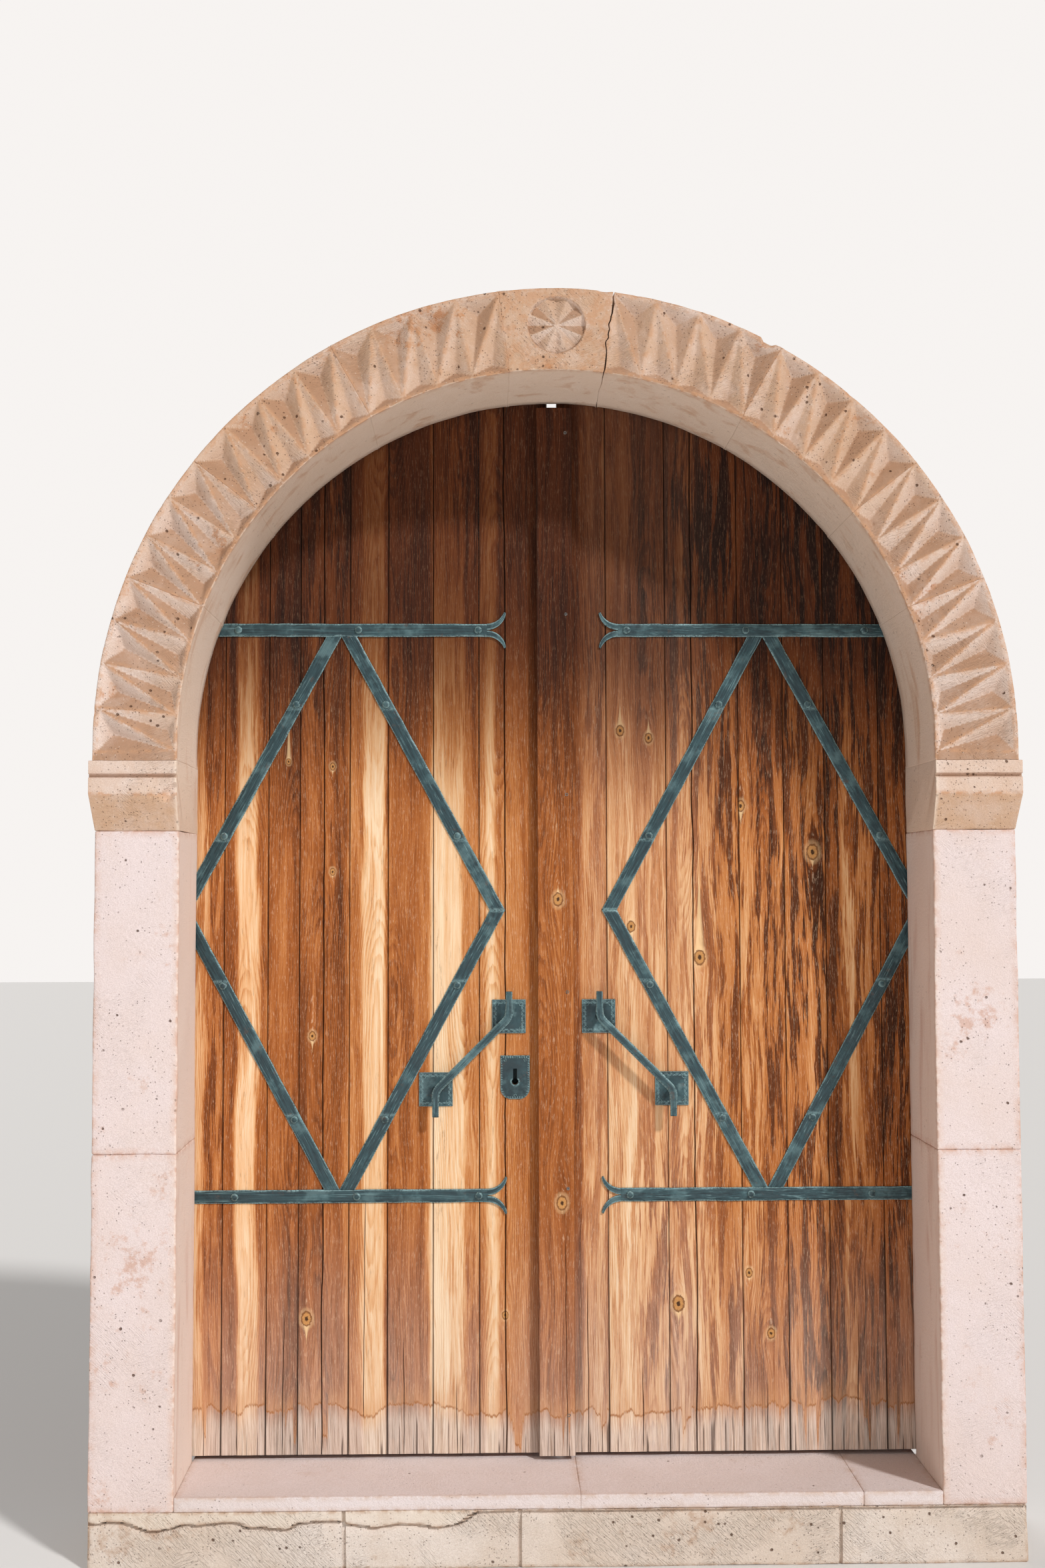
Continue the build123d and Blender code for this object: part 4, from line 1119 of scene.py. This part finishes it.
def board(node, side, top_radius, seed, grooves, laps=(0, 0), pale=None):
    """One upright board: rounded edges, checks as real grooves, and marks for its material.

    A groove gives its X, where it starts and ends, its breadth and its depth. Behind its rounded
    edges the board laps half way over the seams that are named in laps.
    """
    box_low, box_high, middle = box_of(node)
    left, right = box_low[0], box_high[0]
    low = THRESHOLD_Z + BOARD_CLEARANCE
    width, height, depth = right - left, SPRINGING_Z + top_radius - low, box_high[1] - box_low[1]
    extra = [groove[0] - left + step * groove[3] for groove in grooves for step in (-0.6, -0.15, 0.15, 0.6)]
    extra = [u for u in extra if 0.002 < u < width - 0.002]
    sides = [lines(length, cell, 0.003) for length, cell in zip((height, depth), BOARD_CELLS[1:])]
    flat, faces = lattice(lines(width, BOARD_CELLS[0], 0.003, extra), *sides)
    uneven = fractal(join(flat[:, 0] + left, flat[:, 2], flat[:, 1]), (30, 30, 6), seed, 2)
    points = round_arrises(flat, (width, height, depth), np.clip(0.0014 + 0.0007 * uneven, 0.0007, 0.003))
    behind = (flat[:, 2] > 0.009) & (flat[:, 2] < depth - 0.0005)
    at_left, at_right = flat[:, 0] < 1e-6, flat[:, 0] > width - 1e-6
    points[:, 0] += behind * BOARD_LAP * (laps[1] * at_right - laps[0] * at_left)

    x, y = left + points[:, 0], box_low[1] + points[:, 2]
    top = SPRINGING_Z + np.sqrt(np.maximum(top_radius**2 - x**2, 0))
    z = low + points[:, 1] / height * (top - low)
    at_front = (flat[:, 2] < 0.0005).astype(float)
    groove_mark = np.zeros(len(points))
    for groove_x, start, end, breadth, sunk in grooves:
        away = np.abs(left + flat[:, 0] - groove_x)
        fade = smooth_step(z, start - 0.01, start + 0.02) * (1 - smooth_step(z, end - 0.15, end))
        opened = (away < 0.3 * breadth) * at_front * fade
        y += sunk * opened
        groove_mark = np.maximum(groove_mark, opened)
        x = x + smooth_step(away, 0.03, 0.0) * 0.0035 * fractal(join(groove_x, 0, z), 5, seed + 3)
    spot = join(x, y, z)
    cupping = 0.0008 * (0.25 - (points[:, 0] / width - 0.5) ** 2) * (1 if seed % 2 else -1)
    rough = 0.0007 * fractal(spot, (13, 13, 1.4), seed) + 0.0004 * noise(spot, (60, 60, 6), seed)

    at_seam = smooth_step(from_ends(flat[:, 0], width), 0.003, 0.0)
    at_rear = smooth_step(flat[:, 2], 0.010, 0.020)
    marks = board_marks(spot, side, seed, at_rear, at_seam, groove_mark, pale)
    heart_x = middle[0] + HEARTS[seed % len(HEARTS)] * width
    made = Shell()
    made.add(join(x, y + at_front * (rough - cupping), z), faces, across=x - heart_x, **marks)
    return made.piece(node, f"{side}_leaf", pine_with_knots(node, left, right), "front_pine", 35)


def make_boards():
    for side in SIDES:
        grooves = [(x, THRESHOLD_Z, 3.4, *CRACK_SIZE) for x in CRACKS[side]]
        grooves += [(*check, *CHECK_SIZE) for check in CHECKS[side]]
        nodes = sorted(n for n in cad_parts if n.startswith(f"board_{side}_"))
        for number, node in enumerate(nodes):
            low, high, _ = box_of(node)
            own = [g for g in grooves if low[0] + 0.008 < g[0] < high[0] - 0.008]
            seed = number + (20 if side == "right" else 1)
            laps = (int(number > 0), int(number < len(nodes) - 1))
            made = board(node, side, LEAF_TOP_RADIUS, seed, own, laps)
            if node == "board_left_8":
                cut_keyhole(made)
    board("cover_strip", "right", STRIP_TOP_RADIUS, 41, [STRIP_CHECK], pale=0.43)


def block(low, high):
    """Points and faces of a plain block, for cutting."""
    points = np.array(list(product(*zip(low, high))), float)
    return points, [(0, 1, 3, 2), (4, 6, 7, 5), (0, 4, 5, 1), (2, 3, 7, 6), (0, 2, 6, 4), (1, 5, 7, 3)]


def cut(piece, points, faces):
    """Cut a closed form out of a piece."""
    mesh = bpy.data.meshes.new("cutter")
    mesh.from_pydata(points.tolist(), [], faces)
    face_outward(mesh)
    cutter = bpy.data.objects.new("cutter", mesh)
    scene.collection.objects.link(cutter)
    modifier = piece.modifiers.new("cut", "BOOLEAN")
    modifier.operation = "DIFFERENCE"
    modifier.object = cutter
    modifier.solver = "EXACT"
    graph = bpy.context.evaluated_depsgraph_get()
    finished = bpy.data.meshes.new_from_object(piece.evaluated_get(graph))
    piece.modifiers.clear()
    piece.data = finished
    bpy.data.objects.remove(cutter)


def cut_keyhole(piece):
    """Cut the keyhole through a piece: a round hole with a slot above it."""
    x, _, z = box_of("escutcheon")[2]
    low_z, high_z, radius, half_slot = z - KEYHOLE_DROP, z + 0.024, 0.009, 0.0055
    cut(piece, *lathe([(radius, -0.2), (radius, 0.2)], 32, (x, BOARD_FRONT_Y, low_z)))
    cut(piece, *block((x - half_slot, -0.1, low_z), (x + half_slot, 0.3, high_z)))


def cut_socket(slab):
    """Cut the shoot bolt's socket into the threshold."""
    half, reach = 0.009, 0.05
    x = box_of("shoot_bolt")[2][0]
    y = LEDGE_REAR_Y + 0.012
    cut(slab, *block((x - half, y - half, THRESHOLD_Z - reach), (x + half, y + half, THRESHOLD_Z + reach)))


def make_ledges():
    for side, first_seed in (("left", 7.0), ("right", 17.0)):
        for order, level in enumerate(("top", "middle", "bottom")):
            node = f"ledge_{side}_{level}"
            low, high, middle = box_of(node)
            size = high - low
            points, faces = lattice(*(lines(length, cell, 0.005) for length, cell in zip(size, LEDGE_CELLS)))
            radius = np.where(points[:, 1] + low[1] > BOARD_REAR_Y + 0.02, 0.0052, 0.0015)
            points = round_arrises(points, size, radius) + low
            points[:, 1] += 0.0007 * fractal(points, (2, 20, 20), order)
            made = Shell()
            across = points[:, 2] - middle[2] - 0.02
            # The mark that lays the painted shadow on the fronts gives the ledges, on the back, their own
            # darker colour.
            made.add(points, faces, pale=0.42, seed=order + first_seed, foot=-9.0, shade=0.25, across=across)
            made.piece(node, f"{side}_leaf", ledge_pine, "ledge_pine", 35)


# Iron

def hammer(points, seed, amount=0.00035):
    """The uneven face that a hammer leaves."""
    return amount * (noise(points, 46, seed) + 0.7 * noise(points, 110, seed + 1))


class Bar:
    """A flat bar before it is bent: length along u, width along v, and w from its front to its back."""

    def __init__(self, length, width, thickness, cell=IRON_CELL, arris=0.0011):
        bevels = (0.55 * BEVEL, BEVEL, width - BEVEL, width - 0.55 * BEVEL)
        across = lines(width, cell, arris, bevels if width > 4 * BEVEL else ())
        flat, self.faces = lattice(lines(length, cell, arris), across, lines(thickness, 0.004, arris))
        self.points = round_arrises(flat, (length, width, thickness), arris)
        self.along, self.across = flat[:, 0], flat[:, 1]
        self.edge = from_ends(self.across, width)
        self.front = flat[:, 2] < thickness / 2
        # Light front edges: partly worn bare, partly a painted highlight along the bevels.
        self.wear = smooth_step(flat[:, 2], thickness / 2, 0.0) * smooth_step(self.edge, 0.0032, 0.0)

    def bevel(self):
        """How far the hammered bevels along the front edges lie back."""
        return BEVEL_DEPTH * smooth_step(self.edge, BEVEL, 0.1 * BEVEL) * self.front

    def nicks(self, seed, pitch=0.021):
        """Short cuts along the edges, as wear and as depth."""
        strength = smooth_step(noise(join(self.along / pitch, 0, 0), 1.0, seed), 0.15, 0.6)
        return strength * smooth_step(self.edge, 0.006, 0.001) * self.front

    def add_to(self, made, place, seed, *wear):
        wear = np.maximum.reduce([self.wear, *wear])
        made.add(place, self.faces, wear=wear, along=self.along + seed, across=self.across)


def iron_piece(made, name, side):
    return made.piece(name, f"{side}_leaf", forged_iron, "forged_iron", 32)


def arc_point(start, end, share):
    """Point of an arc that leaves its start level and reaches its end."""
    run, rise = abs(end[0] - start[0]), end[1] - start[1]
    radius = (run * run + rise * rise) / (2 * rise)
    turn = 2 * atan2(rise, run) * share
    way = np.sign(end[0] - start[0])
    return start[0] + way * radius * np.sin(turn), start[1] + radius * (1 - np.cos(turn))


def make_strap(side, level):
    """A hinge strap: its bar is rolled round the pin at one end and forks at the other."""
    sign = SIDES[side]
    node = f"strap_{side}_{level}"
    seed = len(level) + (3 if sign > 0 else 0)
    z = box_of(node)[2][2]
    made = Shell()

    straight = HINGE_X - FISHTAIL["split"]
    middle_radius = EYE_RADIUS - STRAP_THICKNESS / 2
    bar = Bar(straight + radians(300) * middle_radius, STRAP_WIDTH, STRAP_THICKNESS)
    u, v, w = bar.points.T
    turn = np.maximum(u - straight, 0) / middle_radius
    x = FISHTAIL["split"] + np.minimum(u, straight) + (EYE_RADIUS - w) * np.sin(turn)
    y = STRAP_FRONT_Y + EYE_RADIUS - (EYE_RADIUS - w) * np.cos(turn)
    place = join(sign * x, y, z + v)
    nicks = bar.nicks(seed)
    flat_part = smooth_step(bar.along, straight, straight - 0.03)
    height = place[:, 2] - STRAP_WIDTH / 2 + 0.0009 * (2 * v / STRAP_WIDTH - 1) * noise(place, 26, seed + 5)
    y = y + flat_part * (bar.front * (hammer(place, seed) + 0.0010 * nicks) + bar.bevel())
    bar.add_to(made, join(sign * x, y, height), seed, nicks)

    root = FISHTAIL["split"] + 0.0005
    outer_tip = (FISHTAIL["tip"] + FISHTAIL["tip_width"], FISHTAIL["spread"])
    inner_tip = (FISHTAIL["tip"] + 0.002, FISHTAIL["spread"] - 0.003)
    for up in (-1, 1):
        tine = Bar(FISHTAIL["length"], FISHTAIL["root_width"], STRAP_THICKNESS, FINE_IRON_CELL)
        u, v, w = tine.points.T
        share, across = u / FISHTAIL["length"], v / FISHTAIL["root_width"]
        outer = np.array(arc_point((root, STRAP_WIDTH / 2), outer_tip, share))
        inner = np.array(arc_point((root, FISHTAIL["crotch"] / 2), inner_tip, share))
        x, height = inner + across * (outer - inner)
        place = join(sign * x, STRAP_FRONT_Y + w, z + up * height)
        place[:, 1] += tine.front * hammer(place, seed + up)
        tine.add_to(made, place, seed)
    iron_piece(made, node, side)


def diamond_size():
    """Top and bottom of the diamonds between the straps, and the level width of their bars."""
    top_z = box_of("strap_left_top")[2][2] - STRAP_WIDTH / 2
    bottom_z = box_of("strap_left_bottom")[2][2] + STRAP_WIDTH / 2
    slope = atan2((DIAMOND_OUTER_X - DIAMOND_INNER_X) / 2, (top_z - bottom_z) / 2)
    return top_z, bottom_z, STRAP_WIDTH / cos(slope)


def make_diamond(side, which):
    """One bent bar of a diamond: two runs that meet in a welded mitre at the vertex."""
    sign = SIDES[side]
    top_z, bottom_z, section = diamond_size()
    middle_z = (top_z + bottom_z) / 2
    centre = (DIAMOND_INNER_X + DIAMOND_OUTER_X) / 2
    way, vertex = (1, DIAMOND_OUTER_X) if which == "outer" else (-1, DIAMOND_INNER_X)
    made = Shell()
    for half, foot_z in enumerate((top_z, bottom_z)):
        seed = 11 + half + (2 if way > 0 else 0) + (4 if sign > 0 else 0)
        run = hypot(vertex - centre, middle_z - foot_z)
        bar = Bar(run, section, STRAP_THICKNESS)
        u, v, w = bar.points.T
        share = u / run
        x = centre + way * section + share * (vertex - centre - way * section) - way * v
        place = join(sign * x, STRAP_FRONT_Y + w, foot_z + share * (middle_z - foot_z))
        place[:, 0] -= sign * way * 0.0010 * (2 * v / section - 1) * noise(place, 26, seed + 5)
        nicks = bar.nicks(seed)
        laps = [smooth_step(np.abs(share - bolt - 0.012) * run, 0.005, 0.001) for bolt in DIAMOND_BOLT_SHARES]
        groove = np.maximum.reduce(laps)
        weld = smooth_step(run - u, 0.006, 0.0)
        raised = smooth_step(run - u, 0.014, 0.008) * (1 - weld)
        depth = hammer(place, seed) + 0.0010 * nicks + 0.0009 * groove - 0.0008 * raised
        place[:, 1] += bar.front * depth + bar.bevel()
        bar.add_to(made, place, seed, nicks, 0.8 * weld, 0.7 * groove)
    iron_piece(made, f"diamond_{side}_{which}", side)


def bolt_places(side):
    """X and Z of each bolt of a leaf, with the depth of its nut's seat."""
    places = []
    for level in ("top", "bottom"):
        z = box_of(f"strap_{side}_{level}")[2][2]
        places += [(BOLT_FIRST + step * BOLT_PITCH, z, LEDGE_REAR_Y) for step in range(3)]
    top_z, bottom_z, section = diamond_size()
    middle_z = (top_z + bottom_z) / 2
    centre = (DIAMOND_INNER_X + DIAMOND_OUTER_X) / 2
    for way, vertex in ((-1, DIAMOND_INNER_X), (1, DIAMOND_OUTER_X)):
        foot_x, vertex_x = centre + way * section / 2, vertex - way * section / 2
        for foot_z, share in product((top_z, bottom_z), DIAMOND_BOLT_SHARES):
            x, z = foot_x + share * (vertex_x - foot_x), foot_z + share * (middle_z - foot_z)
            places.append((x, z, BOARD_REAR_Y))
    return [(SIDES[side] * x, z, nut_y) for x, z, nut_y in places]


def make_bolts(side):
    """Coach bolts: domed heads with a light rim on the iron, shanks, and nuts on the back."""
    made = Shell()
    choice = np.random.default_rng(5 if side == "left" else 6)
    radius, brim, rise = BOLT_HEAD_RADIUS, 0.0018, BOLT_HEAD_HEIGHT - 0.0018
    dome = [(radius * cos(a), brim + rise * sin(a)) for a in np.linspace(0, pi / 2, 7)[:-1]]
    head = [(0, -0.004), (radius, -0.004), (radius, 0.0), *dome, (0, BOLT_HEAD_HEIGHT)]
    nut = [
        (0, 0), (NUT_RADIUS, 0), (NUT_RADIUS, NUT_HEIGHT - 0.0012), (NUT_RADIUS - 0.0015, NUT_HEIGHT),
        (0, NUT_HEIGHT),
    ]
    for x, z, nut_y in bolt_places(side):
        lean = choice.uniform(-0.05, 0.05, 2)
        points, faces = lathe(head, 20, (x, STRAP_FRONT_Y, z), (lean[0], -1, lean[1]))
        points += hammer(points, 21, 0.0004)[:, None] * (1, 0.5, 1)
        away = np.hypot(points[:, 0] - x, points[:, 2] - z)
        # The rim of each head is drawn lighter.
        light_rim = smooth_step(away, 0.5 * radius, 0.95 * radius) * (points[:, 1] < STRAP_FRONT_Y)
        made.add(points, faces, wear=light_rim)
        end = nut_y + NUT_HEIGHT + 0.001 - STRAP_FRONT_Y
        shank = [(0, 0), (SHANK_RADIUS, 0), (SHANK_RADIUS, end), (0, end)]
        made.add(*lathe(shank, 12, (x, STRAP_FRONT_Y, z), (0, 1, 0)))
        points, faces = lathe(nut, 6, (0, 0, 0), (0, 1, 0))
        spun = np.array(Matrix.Rotation(choice.uniform(0, pi / 3), 3, "Y"))
        made.add(points @ spun.T + (x, nut_y, z), faces)
    iron_piece(made, f"bolts_{side}", side)


def screw_head(made, x, y, z, radius):
    """A small screw with a raised ring round a hollow head."""
    profile = [
        (0, -0.001), (radius, -0.001), (radius, 0.0008), (0.86 * radius, 0.0017), (0.62 * radius, 0.0014),
        (0.50 * radius, 0.0003), (0.18 * radius, 0.0003), (0, 0.0006),
    ]
    points, faces = lathe(profile, 18, (x, y, z))
    away = np.hypot(points[:, 0] - x, points[:, 2] - z)
    made.add(points, faces, wear=peak(away / radius, 0.8, 0.2))


def engraving(x, z, half):
    """Strength of the cut lines of the scalloped border on a square plate, between 0 and 1."""
    strength = np.zeros(len(x))
    pitch = 2 * half / 6
    for along, inward in ((x, half - np.abs(z)), (z, half - np.abs(x))):
        nearest = (np.floor((along + half) / pitch) + 0.5) * pitch - half
        away = np.hypot(along - nearest, inward - 0.002)
        for radius in (0.42 * pitch, 0.60 * pitch):
            line = peak(away, radius, 0.0007) * (inward < 0.016) * (inward > 0.0035)
            strength = np.maximum(strength, line)
    return strength


def handle_plate(made, x, z):
    """An engraved square plate with its four screws."""
    foot, half = BOARD_FRONT_Y - PLATE_THICKNESS, PLATE_SIZE / 2
    cells = lines(PLATE_SIZE, PLATE_CELL, 0.0008)
    flat, faces = lattice(cells, cells, lines(PLATE_THICKNESS, 0.002, 0.0006))
    u, v, w = round_arrises(flat, (PLATE_SIZE, PLATE_SIZE, PLATE_THICKNESS), 0.0008).T
    front = flat[:, 2] < 0.0002
    cuts = engraving(u - half, v - half, half) * front
    place = join(x + u - half, foot + w, z + v - half)
    place[:, 1] += front * (hammer(place, 33, 0.0002) + 0.0005 * cuts)
    rim = np.minimum(from_ends(u, PLATE_SIZE), from_ends(v, PLATE_SIZE))
    made.add(place, faces, wear=np.maximum(0.9 * cuts, front * smooth_step(rim, 0.0018, 0.0)))
    for dx, dz in product((-0.033, 0.033), repeat=2):
        screw_head(made, x + dx, foot, z + dz, 0.0048)


def rounded_route(corners, radius):
    """Points along a bent line, with its inner corners rounded."""
    corners = np.array(corners)
    route = [corners[0]]
    for before, here, after in zip(corners, corners[1:], corners[2:]):
        start, end = (here + radius * (far - here) / np.linalg.norm(far - here) for far in (before, after))
        for share in np.linspace(0, 1, 6):
            route.append((1 - share) ** 2 * start + 2 * share * (1 - share) * here + share**2 * end)
    return np.array([*route, corners[-1]])


def make_handle(side):
    """A forged pull: a bent bar on two posts, on two engraved square plates."""
    sign = SIDES[side]
    low, high, _ = box_of(f"handle_{side}")
    inner_x = min(abs(low[0]), abs(high[0])) + PLATE_SIZE / 2
    outer_x = max(abs(low[0]), abs(high[0])) - PLATE_SIZE / 2
    ends = ((inner_x, high[2] - HANDLE_BAR["stub"]), (outer_x, low[2] + HANDLE_BAR["stub"]))
    bar_y = BOARD_FRONT_Y - HANDLE_BAR["standoff"] - HANDLE_BAR["thickness"]
    made = Shell()

    route = rounded_route([(inner_x, high[2]), *ends, (outer_x, low[2])], 0.016)
    steps = np.concatenate([[0], np.cumsum(np.linalg.norm(np.diff(route, axis=0), axis=1))])

    def route_at(along):
        return np.array([np.interp(along, steps, column) for column in route.T])

    width = HANDLE_BAR["width"]
    bar = Bar(steps[-1], width, HANDLE_BAR["thickness"], FINE_IRON_CELL, 0.0024)
    u, v, w = bar.points.T
    ahead = route_at(u + 0.003) - route_at(u - 0.003)
    ahead /= np.hypot(*ahead)
    stub = smooth_step(from_ends(u, steps[-1]), 0.060, 0.030)
    across = (v - width / 2) * (1 - 0.18 * stub)
    x, z = route_at(u) + across * np.array([-ahead[1], ahead[0]])
    place = join(sign * x, bar_y + w, z)
    facet = smooth_step(np.abs(across), 0.0065, 0.0095) * bar.front
    place[:, 1] += bar.front * 1.6 * hammer(place, 31) + 0.0016 * facet * (1 - stub)
    bar.add_to(made, place, 31, 0.5 * facet)

    post = HANDLE_BAR["post"]
    foot = BOARD_FRONT_Y - PLATE_THICKNESS
    reach = foot - bar_y - 0.003
    profile = [
        (0, -0.002), (1.25 * post, -0.002), (1.2 * post, 0.002), (0.92 * post, 0.006),
        (0.85 * post, 0.5 * reach), (post, reach), (0, reach),
    ]
    for x, z in ends:
        handle_plate(made, sign * x, z)
        made.add(*lathe(profile, 16, (sign * x, foot, z)))
    iron_piece(made, f"handle_{side}", side)


def make_escutcheon():
    """The keyhole's plate: nicked round its rim, with three screws."""
    low, high, (x, _, z) = box_of("escutcheon")
    width, height = high[0] - low[0], high[2] - low[2]
    thickness, corner, nick_pitch = 0.003, 0.030, 0.0065
    us, vs = lines(width, 0.0019, 0.0008), lines(height, 0.0019, 0.0008)
    flat, faces = lattice(us, vs, lines(thickness, 0.0015, 0.0005))
    u, v, w = round_arrises(flat, (width, height, thickness), 0.0007).T
    rise = np.clip(v, 0, corner)
    half = width / 2 - corner + np.sqrt(np.maximum(corner**2 - (corner - rise) ** 2, 0))
    local_x, local_z = (u / width - 0.5) * 2 * half, v - height / 2
    front = flat[:, 2] < 0.0002
    side_gap, end_gap = half - np.abs(local_x), from_ends(flat[:, 1], height)
    rim = np.minimum(side_gap, end_gap)
    along = np.where(side_gap < end_gap, local_z, local_x) / nick_pitch
    nick = peak(along, np.round(along), 0.0011 / nick_pitch) * (rim < 0.0065) * (rim > 0.0012)
    ring = peak(np.hypot(local_x, local_z + KEYHOLE_DROP), 0.0115, 0.0016) * (local_z < -0.004)
    place = join(x + local_x, BOARD_FRONT_Y - thickness + w, z + local_z)
    place[:, 1] += front * (hammer(place, 35, 0.0002) + 0.0005 * nick)
    made = Shell()
    bright = np.maximum.reduce([0.9 * nick, 0.8 * ring, smooth_step(rim, 0.0018, 0.0)])
    made.add(place, faces, wear=front * bright)
    cut_keyhole(iron_piece(made, "escutcheon", "left"))
    screws = Shell()
    for dx, dz in ((-0.028, 0.048), (0.028, 0.048), (0.0, -0.050)):
        screw_head(screws, x + dx, BOARD_FRONT_Y - thickness, z + dz, 0.0045)
    iron_piece(screws, "escutcheon_screws", "left")


def make_strip_screws():
    low, high, _ = box_of("cover_strip")
    made = Shell()
    crown = SPRINGING_Z + INNER_RADIUS
    for z in [THRESHOLD_Z + h for h in (0.122, 0.739, 1.282, 1.834)] + [crown - d for d in (0.608, 0.088)]:
        screw_head(made, high[0] - 0.018, low[1] + 0.0004, z, 0.0046)
    made.piece("strip_screws", "right_leaf", bare_iron, "bare_iron", 32)


def dress_cad(node, material):
    """Give a node that stays as it is its material."""
    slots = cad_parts[node].data.materials
    if len(slots):
        slots[0] = material
    else:
        slots.append(material)


def make_iron():
    for side in SIDES:
        for level in ("top", "bottom"):
            make_strap(side, level)
        for which in ("inner", "outer"):
            make_diamond(side, which)
        make_bolts(side)
        make_handle(side)
    make_escutcheon()
    make_strip_screws()
    for node in ("lock_case", "lock_keeper", "shoot_bolt_guides"):
        dress_cad(node, forged_iron)
    for node in ("lock_bolt", "shoot_bolt", "pintles"):
        dress_cad(node, bare_iron)


# Stage

def make_floor():
    mesh = bpy.data.meshes.new("floor")
    half = 30
    corners = [(-half, -half, 0), (half, -half, 0), (half, half, 0), (-half, half, 0)]
    mesh.from_pydata(corners, [], [(0, 1, 2, 3)])
    floor = bpy.data.objects.new("floor", mesh)
    scene.collection.objects.link(floor)
    mesh.materials.append(Look("floor").finish(Base_Color=(0.74, 0.72, 0.70), Roughness=0.9))


def lamp(name, kind, direction, **settings):
    light = bpy.data.lights.new(name, kind)
    for setting, value in settings.items():
        setattr(light, setting, value)
    made = bpy.data.objects.new(name, light)
    made.rotation_mode = "QUATERNION"
    made.rotation_quaternion = Vector(direction).to_track_quat("-Z", "Y")
    scene.collection.objects.link(made)
    return made


def make_lamps():
    """A key sun, a faint one from behind, and a wide soft light above the floor for the undersides."""
    lamp("key", "SUN", (-0.50, 0.62, -0.60), energy=2.3, angle=radians(5))
    lamp("back", "SUN", (0.5, -0.75, -0.6), energy=0.9, angle=radians(30))
    panel = lamp("low_panel", "AREA", (0, 0.55, 0.84), shape="RECTANGLE", size=5.0, size_y=1.2, energy=54)
    panel.location = (0.2, -3.3, 0.55)
    panel.visible_camera = False


def make_world():
    """Soft light from all round, brighter where the camera or a mirroring face looks at it."""
    world = bpy.data.worlds.new("studio")
    scene.world = world
    world.use_nodes = True
    nodes = Nodes(world.node_tree)
    rays = nodes.node("LightPath").outputs
    seen = Value(nodes, rays["Is Camera Ray"])
    for ray in ("Is Glossy Ray", "Is Transmission Ray"):
        seen = nodes.math("MAXIMUM", seen, Value(nodes, rays[ray]))
    plain = nodes.value("Background", {0: (1.0, 0.98, 0.96), 1: 0.30})
    bright = nodes.value("Background", {0: (0.93, 0.90, 0.88), 1: 1.0})
    nodes.node("OutputWorld", {0: nodes.value("MixShader", {0: seen, 1: plain, 2: bright})})


make_stone()
make_boards()
make_ledges()
make_iron()
make_floor()
make_lamps()
make_world()
scene.view_settings.view_transform = "Standard"
